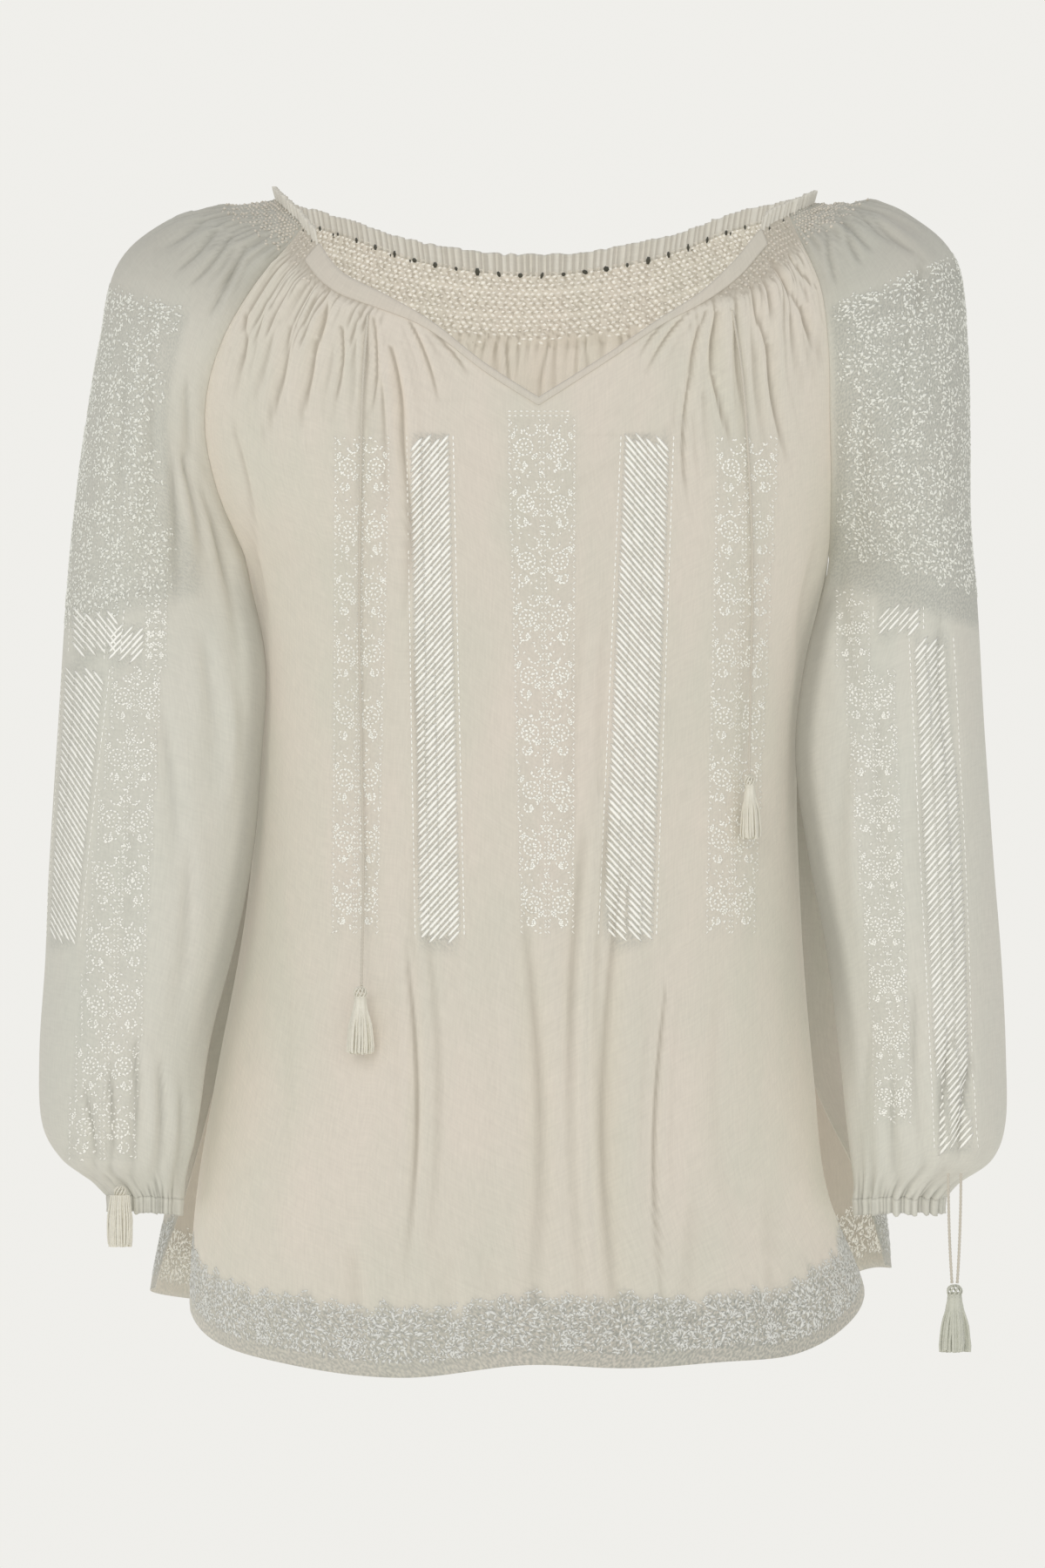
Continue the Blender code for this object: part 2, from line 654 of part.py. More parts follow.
def build_cords(collection):
    """The free ends of the drawstrings, with their tassels."""
    colour = (0.66, 0.62, 0.50)
    neck_sides = (
        ("left", LEFT_NECK_ROUTE, LEFT_NECK_TASSEL),
        ("right", RIGHT_NECK_ROUTE, RIGHT_NECK_TASSEL),
    )
    for name, route, tassel in neck_sides:
        path = neck_cord_path(route)
        add_cord(f"{name}_neck_cord", path, colour, collection)
        low = tassel._replace(top=tassel.top + SEAM_GAP / MM)
        add_tassel(f"{name}_neck_tassel", low, path[-1, 1], colour, collection)
    for name, side in (("a", -1), ("b", 1)):
        add_cord(f"right_cuff_cord_{name}", cuff_cord_path(side), colour, collection)
    add_tassel("right_cuff_tassel", RIGHT_CUFF_TASSEL, CUFF_CORD_Y, colour, collection)
    add_tassel("left_cuff_tassel", LEFT_CUFF_TASSEL, LEFT_CUFF_TASSEL_Y, colour, collection)


def main():
    """Build the blouse."""
    clear_scene()
    blouse = bpy.data.collections.new("peasant_blouse")
    bpy.context.scene.collection.children.link(blouse)
    build_panels(blouse)
    build_sleeves(blouse)
    build_neck(blouse)
    build_cords(blouse)


main()
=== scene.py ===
"""A gathered peasant blouse of pale voile with white embroidery, in an even, pale studio.

The cloth surfaces follow the same cut tables as the solid part. Sizes in the tables are in
millimetres: x runs to the right of the blouse as seen from the front, the front faces -Y, and a
drop is a distance below the origin at shoulder height. Meshes are made in metres.
"""

import logging
import math
from dataclasses import dataclass, field
from enum import Enum
from typing import Any, Callable, NamedTuple, Optional, Sequence

import bpy
import numpy as np
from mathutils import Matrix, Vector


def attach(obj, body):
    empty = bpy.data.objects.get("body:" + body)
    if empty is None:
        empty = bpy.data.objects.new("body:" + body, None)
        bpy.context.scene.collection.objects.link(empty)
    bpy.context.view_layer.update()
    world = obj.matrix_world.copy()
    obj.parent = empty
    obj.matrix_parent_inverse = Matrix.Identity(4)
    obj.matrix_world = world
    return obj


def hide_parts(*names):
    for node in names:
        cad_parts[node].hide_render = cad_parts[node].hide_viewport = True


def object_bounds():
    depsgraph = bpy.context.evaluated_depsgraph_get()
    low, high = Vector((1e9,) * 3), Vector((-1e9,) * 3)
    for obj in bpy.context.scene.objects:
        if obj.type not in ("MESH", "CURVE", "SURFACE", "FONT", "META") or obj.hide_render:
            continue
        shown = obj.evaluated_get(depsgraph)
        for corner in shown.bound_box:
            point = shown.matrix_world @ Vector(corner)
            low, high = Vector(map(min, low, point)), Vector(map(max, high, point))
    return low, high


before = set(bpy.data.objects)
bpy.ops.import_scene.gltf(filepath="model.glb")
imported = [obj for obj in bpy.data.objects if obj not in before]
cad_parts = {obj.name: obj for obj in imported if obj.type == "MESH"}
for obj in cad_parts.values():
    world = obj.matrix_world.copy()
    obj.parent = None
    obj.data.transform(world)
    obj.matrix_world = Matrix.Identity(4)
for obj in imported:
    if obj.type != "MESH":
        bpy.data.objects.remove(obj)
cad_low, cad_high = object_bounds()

MM = 0.001
BODY = "root"
LOG = logging.getLogger("blouse")

SLEEVE_STEP = 48.0
SHOULDER_STEP = 33.0
SECTION_FLATNESS = 0.88
SEAM_CALM = 0.14
OPENING_LEFT = -0.83
OPENING_POINT = 0.053
OPENING_RIGHT = 0.80
BESIDE_OPENING = 0.06
STUDIO_X = -0.0075
STUDIO_Z = -0.3275


class PanelRow(NamedTuple):
    """One level of a panel: its side edges, how far it stands out, and the angle its arc turns."""

    drop: float
    x_left: float
    x_right: float
    y_side: float
    y_middle: float
    turn: float


class EdgeRow(NamedTuple):
    """A place on an edge: across the panel from -1 to 1, and how low the edge lies there."""

    across: float
    drop: float


class FoldRow(NamedTuple):
    """A soft fold: its place across the panel, its start and end, half width and height."""

    across: float
    top: float
    bottom: float
    half_width: float
    height: float


class CreaseRow(NamedTuple):
    """A crease from one place to another, its half width, and its height (a trough is negative)."""

    x_start: float
    drop_start: float
    x_end: float
    drop_end: float
    half_width: float
    height: float


class OuterRow(NamedTuple):
    """The outside line of a sleeve, with the depth of the sleeve and how round its section is."""

    station: float
    x: float
    y: float
    drop: float
    half_depth: float
    roundness: float


class SeamRow(NamedTuple):
    """Where a sleeve station meets the raglan seams of the front and back."""

    station: float
    front_drop: float
    back_drop: float


class InnerRow(NamedTuple):
    """The inside line of a sleeve below the underarm."""

    station: float
    x: float
    y: float
    drop: float


class StripRow(NamedTuple):
    """The width of the binding at one place across the front."""

    across: float
    width: float


class RoutePoint(NamedTuple):
    """A place that a cord passes through, and its distance out from the cloth."""

    x: float
    drop: float
    clear: float


class TasselSize(NamedTuple):
    """A tassel's place and size."""

    x: float
    top: float
    height: float
    skirt_radius: float


class ColumnRow(NamedTuple):
    """An embroidered column: its edges at the top and at the bottom."""

    left_top: float
    right_top: float
    left_bottom: float
    right_bottom: float
    top: float
    bottom: float


FRONT_ROWS = tuple(PanelRow(*row) for row in (
    (-5, -128, 142, -36, -80, 60), (8, -133, 147, -40, -84, 60), (42, -160, 162, -46, -91, 61),
    (77, -180, 167, -47, -97, 63), (117, -189, 168, -41, -103, 66), (160, -182, 169, -22, -109, 69),
    (197, -167, 168, 4, -113, 72), (245, -159, 158, 8, -115, 76), (300, -158, 151, 8, -114, 80),
    (400, -166, 152, 8, -113, 80), (500, -184, 160, 6, -116, 80), (560, -194, 167, 0, -119, 82),
    (620, -198, 189, -12, -121, 84), (670, -197, 191, -16, -122, 84),
))
BACK_ROWS = tuple(PanelRow(*row) for row in (
    (-5, -138, 148, 36, 74, 60), (8, -144, 153, 38, 80, 60), (42, -164, 165, 40, 90, 61),
    (77, -180, 169, 40, 97, 64), (117, -187, 169, 36, 101, 68), (160, -181, 170, 22, 103, 74),
    (197, -167, 168, 4, 103, 87), (245, -159, 158, 8, 101, 112), (300, -158, 151, 8, 99, 118),
    (400, -166, 152, 8, 100, 120), (500, -184, 160, 6, 106, 116), (560, -200, 188, 6, 112, 108),
    (620, -219, 203, 12, 120, 98), (650, -222, 204, 14, 122, 96),
))
FRONT_NECK_LEFT = tuple(EdgeRow(*row) for row in (
    (-1.0, 8), (-0.83, 20), (-0.62, 38), (-0.44, 50), (-0.26, 66), (-0.08, 91), (OPENING_POINT, 108.5),
))
FRONT_NECK_RIGHT = tuple(EdgeRow(*row) for row in (
    (OPENING_POINT, 108.5), (0.23, 83), (0.37, 63), (0.48, 50), (0.62, 32), (0.80, 12), (1.0, 2),
))
BACK_NECK = tuple(EdgeRow(*row) for row in (
    (-1.0, 0), (-0.67, 10.5), (-0.35, 24.5), (0.0, 31), (0.33, 23), (0.67, 6), (1.0, -2),
))
FRONT_HEM = tuple(EdgeRow(*row) for row in (
    (-1.0, 625), (-0.86, 640), (-0.55, 656.5), (-0.25, 664), (0.0, 656.5), (0.2, 658.5), (0.4, 655.5),
    (0.6, 652), (0.86, 630.5), (1.0, 616),
))
BACK_HEM = tuple(EdgeRow(*row) for row in (
    (-1.0, 617), (-0.85, 620.5), (-0.62, 626), (0.0, 641), (0.5, 623), (0.7, 608), (0.9, 606), (1.0, 604),
))
FRONT_SMOCKING_FOOT = tuple(EdgeRow(*row) for row in (
    (-1.0, 22), (-0.8, 36), (-0.62, 48), (-0.45, 56), (0.0, 60), (0.5, 54), (0.68, 46), (0.85, 31),
    (1.0, 18),
))
BACK_SMOCKING_FOOT = tuple(EdgeRow(*row) for row in (
    (-1.0, 30), (-0.6, 56), (0.0, 71), (0.6, 53), (1.0, 28),
))
FRONT_FOLDS = tuple(FoldRow(*row) for row in (
    (-0.84, 120, 640, 0.13, 2.6), (-0.56, 90, 560, 0.12, 2.0), (-0.24, 110, 660, 0.15, 3.0),
    (0.02, 300, 660, 0.13, 2.2), (0.27, 130, 670, 0.14, 3.2), (0.52, 80, 520, 0.12, 2.2),
    (0.80, 110, 620, 0.13, 2.8),
))
BACK_FOLDS = tuple(FoldRow(*row) for row in (
    (-0.78, 140, 630, 0.14, 2.8), (-0.48, 80, 560, 0.13, 2.2), (-0.14, 120, 650, 0.15, 3.0),
    (0.2, 90, 600, 0.13, 2.4), (0.5, 110, 650, 0.15, 3.0), (0.80, 130, 600, 0.13, 2.4),
))
FRONT_CREASES = tuple(CreaseRow(*row) for row in (
    (-164, 58, -171, 102, 2.4, -2.2), (-139, 66, -158, 134, 3.2, -2.6), (-117, 40, -126, 84, 2.4, -3.0),
    (-125, 74, -136, 124, 2.8, -2.6), (-109, 66, -114, 112, 1.6, -1.8), (-83, 78, -76, 146, 2.8, -4.2),
    (-77, 128, -74, 235, 3.6, -3.0), (-73, 62, -55, 112, 1.8, -2.4), (-65, 63, -38, 96, 1.7, -2.4),
    (-92, 62, -93, 118, 1.5, -1.6), (-150, 52, -166, 112, 2.2, 1.8), (-131, 62, -146, 122, 2.4, 1.8),
    (-100, 60, -103, 128, 2.2, 1.5), (-86, 92, -82, 176, 2.2, 2.0), (90, 55, 62, 95, 1.7, -2.4),
    (82, 54, 58, 86, 1.4, -1.6), (96, 57, 87, 104, 2.0, -2.4), (87, 96, 85, 165, 1.8, -2.0),
    (103, 58, 101, 108, 2.9, -4.0), (101, 94, 110, 130, 2.0, -2.4), (123, 42, 133, 84, 2.4, -3.0),
    (132, 76, 144, 148, 2.8, -3.2), (134, 28, 152, 60, 2.2, -3.0), (151, 54, 164, 84, 2.6, -3.2),
    (144, 26, 160, 46, 1.5, -1.8), (113, 60, 121, 128, 2.0, -1.4), (108, 66, 113, 132, 2.0, 1.6),
    (127, 66, 137, 138, 2.4, 1.8), (146, 58, 158, 104, 2.2, 1.6), (93, 74, 94, 150, 2.0, 1.4),
    (-72, 232, -73, 430, 4.4, -1.8), (-73, 420, -75, 612, 3.0, -2.2), (-66, 400, -68, 600, 3.2, 2.0),
    (-7, 400, -6, 662, 8.0, -6.4), (36, 330, 39, 664, 4.0, 5.6), (47, 380, 51, 662, 6.0, -5.6),
    (73, 440, 73, 640, 2.6, -2.0), (34, 220, 37, 430, 4.6, 2.0), (90, 560, 92, 662, 9.0, -3.4),
    (-40, 590, -38, 668, 9.0, 3.0), (-105, 590, -108, 655, 9.0, -3.4), (135, 560, 142, 652, 8.0, -3.4),
    (118, 190, 134, 420, 5.5, -1.8), (104, 430, 112, 600, 7.0, -1.6), (-140, 430, -152, 600, 7.0, -1.4),
    (-165, 182, -152, 250, 3.4, -2.6), (160, 188, 148, 262, 3.4, -2.4), (-174, 120, -158, 205, 3.0, -2.2),
))
BACK_CREASES = tuple(CreaseRow(*row) for row in (
    (-150, 40, -164, 110, 2.4, -2.4), (-120, 60, -130, 136, 2.6, -3.0), (-92, 66, -97, 150, 2.6, -3.0),
    (-64, 72, -66, 128, 2.2, -2.6), (-41, 72, -43, 140, 2.2, -3.2), (-20, 70, -21, 124, 2.0, -2.6),
    (8, 74, 9, 146, 2.6, -3.4), (27, 72, 29, 118, 1.9, -2.6), (52, 68, 55, 138, 2.5, -3.0),
    (80, 62, 86, 130, 2.3, -2.6), (108, 54, 118, 126, 2.6, -3.0), (136, 42, 150, 104, 2.4, -2.6),
    (-66, 180, -70, 420, 5.0, -2.4), (38, 190, 42, 470, 5.4, -2.6), (-12, 300, -14, 640, 6.4, -2.8),
    (92, 240, 101, 610, 6.6, -2.6), (-118, 260, -132, 610, 6.6, -2.6), (64, 420, 66, 640, 3.4, 2.4),
    (162, 180, 149, 258, 3.4, -2.6), (-166, 176, -153, 252, 3.4, -2.6),
))
LEFT_OUTER = tuple(OuterRow(*row) for row in (
    (0, -148, 2, -7, 0, 1.0), (1, -180, 3, -2, 2, 1.0), (2, -213, 2, 6, 6, 1.0), (3, -240, 0, 30, 12, 1.05),
    (4, -250.5, -2, 77, 21, 1.1), (5, -258.5, -5, 127, 32, 1.15), (6, -263.5, -9, 177, 43, 1.2),
    (7, -268, -14, 227, 51, 1.3), (8, -272.5, -20, 280, 56, 1.6), (9, -276.5, -25, 330, 59, 1.85),
    (10, -279, -29, 380, 61, 2.0), (11, -280, -32, 430, 63, 2.0), (12, -283, -34, 480, 64, 2.0),
    (13, -282, -35, 520, 59, 2.0), (14, -271, -35, 540, 47, 2.0), (15, -253, -35, 552, 36, 2.0),
    (16, -243, -35, 560, 30, 2.0),
))
RIGHT_OUTER = tuple(OuterRow(*row) for row in (
    (0, 159, 2, -5, 0, 1.0), (1, 188, 3, -4, 2, 1.0), (2, 214, 2, 3, 6, 1.0), (3, 241, 0, 27, 12, 1.05),
    (4, 248, -2, 77, 21, 1.1), (5, 249, -5, 127, 31, 1.15), (6, 248, -9, 177, 40, 1.2),
    (7, 252, -14, 227, 47, 1.3), (8, 256, -20, 280, 52, 1.6), (9, 260, -25, 330, 55, 1.85),
    (10, 263, -29, 380, 57, 2.0), (11, 266, -32, 430, 59, 2.0), (12, 268, -34, 480, 60, 2.0),
    (13, 268, -35, 520, 56, 2.0), (14, 260, -35, 541, 45, 2.0), (15, 241, -35, 553, 36, 2.0),
    (16, 232, -35, 561, 30, 2.0),
))
LEFT_SEAMS = tuple(SeamRow(*row) for row in (
    (0, 8, 0), (1, 24, 14), (2, 40, 30), (3, 58, 52), (4, 84, 84), (5, 128, 128), (6, 168, 168),
    (7, 197, 197),
))
RIGHT_SEAMS = tuple(SeamRow(*row) for row in (
    (0, 2, -2), (1, 20, 12), (2, 37, 28), (3, 56, 50), (4, 84, 84), (5, 128, 128), (6, 168, 168),
    (7, 197, 197),
))
LEFT_INNER = tuple(InnerRow(*row) for row in (
    (7, -166.6, -6, 201), (8, -155, -17, 256), (9, -157, -20, 310), (10, -162, -26, 365),
    (11, -172, -31, 418), (12, -186, -32, 472), (13, -193, -33, 518), (14, -199, -34, 543),
    (15, -202, -34, 556), (16, -204, -34, 564),
))
RIGHT_INNER = tuple(InnerRow(*row) for row in (
    (7, 169.5, -6, 201), (8, 155, -17, 256), (9, 149, -20, 310), (10, 156, -26, 365), (11, 166, -31, 418),
    (12, 173, -32, 472), (13, 178, -33, 518), (14, 181, -34, 543), (15, 183, -34, 556), (16, 184, -34, 564),
))
LEFT_SLEEVE_CREASES = tuple(CreaseRow(*row) for row in (
    (-165, 20, -184, 50, 1.7, -2.4), (-172, 12, -198, 44, 1.6, -2.2), (-180, 8, -206, 36, 1.6, -2.0),
    (-170, 26, -187, 62, 1.7, -2.0), (-186, 3, -214, 22, 2.0, -1.8), (-202, 138, -190, 200, 3.0, -3.4),
    (-194, 150, -176, 214, 2.8, -2.6), (-208, 140, -207, 232, 3.2, -2.6), (-184, 176, -170, 262, 3.4, -3.0),
    (-200, 96, -199, 156, 3.0, -1.8), (-190, 240, -185, 330, 4.6, -2.2), (-214, 280, -206, 400, 5.0, -2.4),
    (-176, 270, -177, 350, 3.6, 1.8), (-198, 360, -206, 470, 4.6, -2.2), (-232, 330, -242, 470, 5.2, -1.8),
    (-228, 470, -231, 560, 3.4, -2.8), (-243, 486, -243, 558, 3.0, -2.6), (-214, 486, -217, 562, 3.0, -2.6),
    (-258, 500, -250, 556, 2.6, -2.2), (-203, 500, -207, 562, 2.4, -2.0), (-236, 78, -246, 200, 4.4, -2.0),
    (-222, 60, -226, 210, 3.8, -1.4),
))
RIGHT_SLEEVE_CREASES = tuple(CreaseRow(*row) for row in (
    (172, 0, 193, 24, 1.8, -2.4), (182, -1, 206, 20, 1.6, -2.0), (188, 1, 223, 28, 2.0, -2.2),
    (222, 24, 221, 72, 4.0, -2.8), (176, 8, 186, 32, 1.6, -1.8), (166, 10, 172, 44, 1.5, -1.8),
    (214, 60, 212, 150, 4.2, -1.8), (190, 110, 186, 220, 4.4, -1.8), (176, 196, 184, 290, 4.0, -2.4),
    (232, 226, 238, 330, 4.4, -2.0), (196, 280, 204, 420, 5.2, -2.2), (184, 300, 188, 440, 4.6, 1.8),
    (222, 300, 232, 470, 5.6, -2.0), (216, 440, 222, 556, 4.0, -2.6), (236, 470, 232, 552, 3.0, -2.8),
    (204, 490, 206, 560, 3.0, -2.2), (250, 480, 240, 548, 2.8, -2.4), (191, 470, 190, 560, 3.4, -1.6),
))
BINDING = tuple(StripRow(*row) for row in (
    (OPENING_LEFT, 9.0), (-0.5, 8.0), (-0.3, 4.5), (OPENING_POINT, 4.0), (0.4, 4.0), (0.6, 8.0),
    (OPENING_RIGHT, 8.0),
))
LEFT_NECK_ROUTE = tuple(RoutePoint(*row) for row in (
    (-95.5, 61, 1.0), (-98, 95, 1.4), (-99.5, 150, 1.0), (-100.5, 230, 1.0), (-99, 320, 1.0),
    (-98, 380, 2.0), (-99.5, 442, 10.0),
))
RIGHT_NECK_ROUTE = tuple(RoutePoint(*row) for row in (
    (112, 58, 1.0), (117, 90, 1.4), (121, 140, 1.0), (123.5, 200, 1.0), (123, 260, 2.0), (122, 322, 7.0),
))
LEFT_NECK_TASSEL = TasselSize(-99.5, 442, 39, 8.0)
RIGHT_NECK_TASSEL = TasselSize(122, 322, 37, 6.5)
LEFT_CUFF_TASSEL = TasselSize(-236.5, 556, 35, 7.5)
RIGHT_CUFF_TASSEL = TasselSize(238.5, 612, 39, 9.5)

FRONT_FLORAL_COLUMNS = (
    ColumnRow(-114, -82.5, -115.5, -90, 130, 412), ColumnRow(-16, 22.5, -8, 21.5, 120, 412),
    ColumnRow(103, 138, 96.5, 124, 130, 412),
)
FRONT_BAR_COLUMNS = (
    (ColumnRow(-70, -50, -65, -43.5, 130, 416), 1), (ColumnRow(51.5, 75, 38.5, 65, 130, 416), -1),
)
LEFT_SLEEVE_FLORAL = (
    ColumnRow(-240, -213, -267, -228, 260, 540), ColumnRow(-222, -210, -222, -211, 222, 262),
)
LEFT_SLEEVE_BARS = (
    (ColumnRow(-267, -246, -277, -262, 262, 418), -1), (ColumnRow(-262, -238, -263, -240, 228, 254), -1),
    (ColumnRow(-242, -224, -243, -224, 236, 257), 1),
)
RIGHT_SLEEVE_FLORAL = (
    ColumnRow(176, 204, 196, 214, 262, 520), ColumnRow(170, 189, 175, 192, 216, 262),
)
RIGHT_SLEEVE_BARS = (
    (ColumnRow(216, 235, 230, 248, 244, 536), 1), (ColumnRow(196, 218, 196, 218, 226, 242), 1),
)


def smooth_columns(rows: Sequence[tuple], places: Any) -> list[np.ndarray]:
    """Read a table's columns along smooth curves through its rows.

    Args:
        rows: The table, with the key in its first column.
        places: Key values to read at.

    Returns:
        One array for each column after the first.
    """
    table = np.array(rows, dtype=float)
    keys = table[:, 0]
    places = np.clip(np.asarray(places, dtype=float), keys[0], keys[-1])
    slopes = np.gradient(table, keys, axis=0)
    below = np.clip(np.searchsorted(keys, places, side="right") - 1, 0, len(keys) - 2)
    span = keys[below + 1] - keys[below]
    part = ((places - keys[below]) / span)[..., None]
    span = span[..., None]
    columns = (
        table[below] * (1 + 2 * part) * (1 - part) ** 2
        + slopes[below] * span * part * (1 - part) ** 2
        + table[below + 1] * part ** 2 * (3 - 2 * part)
        + slopes[below + 1] * span * part ** 2 * (part - 1)
    )
    return [columns[..., index] for index in range(1, table.shape[1])]


def ease(value: Any, low: float, high: float) -> np.ndarray:
    """Rise smoothly from 0 at low to 1 at high."""
    part = np.clip((np.asarray(value, dtype=float) - low) / (high - low), 0, 1)
    return part * part * (3 - 2 * part)


def unit(vectors: np.ndarray) -> np.ndarray:
    """The same vectors, each of length 1."""
    return vectors / np.maximum(np.linalg.norm(vectors, axis=-1, keepdims=True), 1e-12)


def even_path(points: np.ndarray, count: int) -> np.ndarray:
    """The same path with evenly spaced points.

    Args:
        points: The path's points, one row each.
        count: How many points to give back.

    Returns:
        The new points.
    """
    steps = np.linalg.norm(np.diff(points, axis=0), axis=1)
    lengths = np.concatenate([[0], np.cumsum(steps)])
    places = np.linspace(0, lengths[-1], count)
    return np.stack([np.interp(places, lengths, points[:, axis]) for axis in range(3)], axis=-1)


@dataclass(frozen=True)
class Gathers:
    """A run of soft pleats that start at an edge and die out at uneven lengths."""

    start: float
    end: float
    pitch: float
    height: float
    length: float
    seed: int
    swell: float = 1.0

    def heights(self, along: np.ndarray, depth: np.ndarray) -> np.ndarray:
        """Height of the pleats at places along the edge and depths below it, in millimetres.

        Args:
            along: Distance along the gathered edge.
            depth: Distance below the edge.

        Returns:
            The height of the cloth there.
        """
        draw = np.random.default_rng(self.seed)
        count = max(1, int((self.end - self.start) / self.pitch))
        centres = np.linspace(self.start, self.end, count) + draw.uniform(-0.3, 0.3, count) * self.pitch
        widths = self.pitch * draw.uniform(0.24, 0.42, count)
        tall = self.height * draw.uniform(0.5, 1.6, count)
        long = self.length * draw.uniform(0.45, 1.4, count)
        lean = draw.uniform(-0.05, 0.05, count) * self.pitch
        total = np.zeros(np.broadcast(along, depth).shape)
        below = np.maximum(depth, 0)
        for centre, width, high, reach, slant in zip(centres, widths, tall, long, lean):
            near = np.abs(along - centre) < 6 * width + 2
            if not near.any():
                continue
            gone = np.clip(below / reach, 0, 1)
            broad = width * (1 + self.swell * gone)
            offset = (along - centre - slant * below / self.pitch) / broad
            total = total + high * np.exp(-offset ** 2) * (1 - gone) ** 1.3 * near
        return total


def crease_heights(rows: Sequence[CreaseRow], x: np.ndarray, drop: np.ndarray) -> np.ndarray:
    """Height of creases at places on a surface.

    Args:
        rows: The creases.
        x: Places to the right, in millimetres.
        drop: Places downward, in millimetres.

    Returns:
        The height of the cloth there, in millimetres.
    """
    total = np.zeros(np.broadcast(x, drop).shape)
    for row in rows:
        run = np.array([row.x_end - row.x_start, row.drop_end - row.drop_start])
        length = float(np.hypot(*run))
        run = run / length
        along = ((x - row.x_start) * run[0] + (drop - row.drop_start) * run[1]) / length
        aside = -(x - row.x_start) * run[1] + (drop - row.drop_start) * run[0]
        bend = 0.035 * length * np.sin(math.pi * np.clip(along, 0, 1)) * np.sign(row.x_start)
        aside = aside - bend
        inside = np.clip(along, 0, 1)
        taper = np.sin(math.pi * inside ** 0.75) ** 0.8 * ((along > 0) & (along < 1))
        width = row.half_width * (0.75 + 0.5 * inside)
        core = np.exp(-((aside / width) ** 2))
        lips = np.exp(-(((np.abs(aside) - 2.1 * width) / (1.1 * width)) ** 2))
        total = total + row.height * taper * (core - 0.28 * lips)
    return total


def honeycomb(along: np.ndarray, depth: np.ndarray, pitch: float, height: float) -> np.ndarray:
    """The raised diamonds of smocking.

    Args:
        along: Distance along the smocked edge.
        depth: Distance below the edge.
        pitch: Size of one cell.
        height: Height of the cells.

    Returns:
        The height of the cloth there.
    """
    sway = 0.22 * np.sin(along / 9.0) + 0.2 * np.sin(depth / 7.0 + along / 23.0)
    ridge = np.cos(2 * math.pi * along / pitch + sway)
    rung = np.cos(2 * math.pi * depth / (1.15 * pitch) + sway)
    return height * (0.6 * ridge * rung + 0.4 * ridge)


def panel_points(rows: Sequence[PanelRow], across: Any, drop: Any, out: Any = 0.0) -> np.ndarray:
    """Points of a panel surface, in millimetres.

    Args:
        rows: The panel's levels.
        across: Places from side seam to side seam, -1 to 1.
        drop: Distances below the origin.
        out: Distances away from the hollow.

    Returns:
        The points, one for each place.
    """
    x_left, x_right, y_side, y_middle, turn = smooth_columns(rows, drop)
    turn = np.radians(turn)
    angle = across * turn
    facing = np.sign(y_middle - y_side)
    middle = 0.5 * (x_left + x_right)
    half = 0.5 * (x_right - x_left)
    bow = np.clip((np.cos(angle) - np.cos(turn)) / (1 - np.cos(turn)), 0, 1) ** SECTION_FLATNESS
    x = middle + half * np.sin(angle) / np.sin(turn) + out * np.sin(angle)
    y = y_side + (y_middle - y_side) * bow + out * facing * np.cos(angle)
    return np.stack([x, y, -np.asarray(drop, dtype=float) + 0 * x], axis=-1)


def across_at_x(rows: Sequence[PanelRow], x: Any, drop: Any) -> np.ndarray:
    """The place across a panel, from -1 to 1, whose point lies at x at the drop given.

    Args:
        rows: The panel's levels.
        x: Places to the right, in millimetres.
        drop: Places downward, in millimetres.

    Returns:
        Places across the panel.
    """
    x_left, x_right, _, _, turn = smooth_columns(rows, drop)
    turn = np.radians(turn)
    middle = 0.5 * (x_left + x_right)
    half = 0.5 * (x_right - x_left)
    return np.arcsin(np.clip((x - middle) / half * np.sin(turn), -0.99, 0.99)) / turn


def fold_height(folds: Sequence[FoldRow], across: Any, drop: Any) -> np.ndarray:
    """The height of the soft folds at places on a panel.

    Args:
        folds: The panel's soft folds.
        across: Places across the panel, from -1 to 1.
        drop: Places downward, in millimetres.

    Returns:
        Heights in millimetres.
    """
    height = np.zeros(np.broadcast(across, drop).shape)
    for fold in folds:
        swell = np.exp(-((across - fold.across) / fold.half_width) ** 2)
        along = np.clip((drop - fold.top) / (fold.bottom - fold.top), 0, 1)
        height = height + fold.height * swell * np.sin(math.pi * along) ** 0.7
    return height * np.clip((1 - np.abs(across)) / SEAM_CALM, 0, 1)


def front_neck_drop(across: Any) -> np.ndarray:
    """How low the front neckline lies, with a sharp point at the foot of the opening.

    Args:
        across: Places across the panel, from -1 to 1.

    Returns:
        Drops in millimetres.
    """
    left, = smooth_columns(FRONT_NECK_LEFT, np.minimum(across, OPENING_POINT))
    right, = smooth_columns(FRONT_NECK_RIGHT, np.maximum(across, OPENING_POINT))
    return np.where(np.asarray(across) < OPENING_POINT, left, right)


def back_neck_drop(across: Any) -> np.ndarray:
    """How low the back neckline lies."""
    return smooth_columns(BACK_NECK, across)[0]


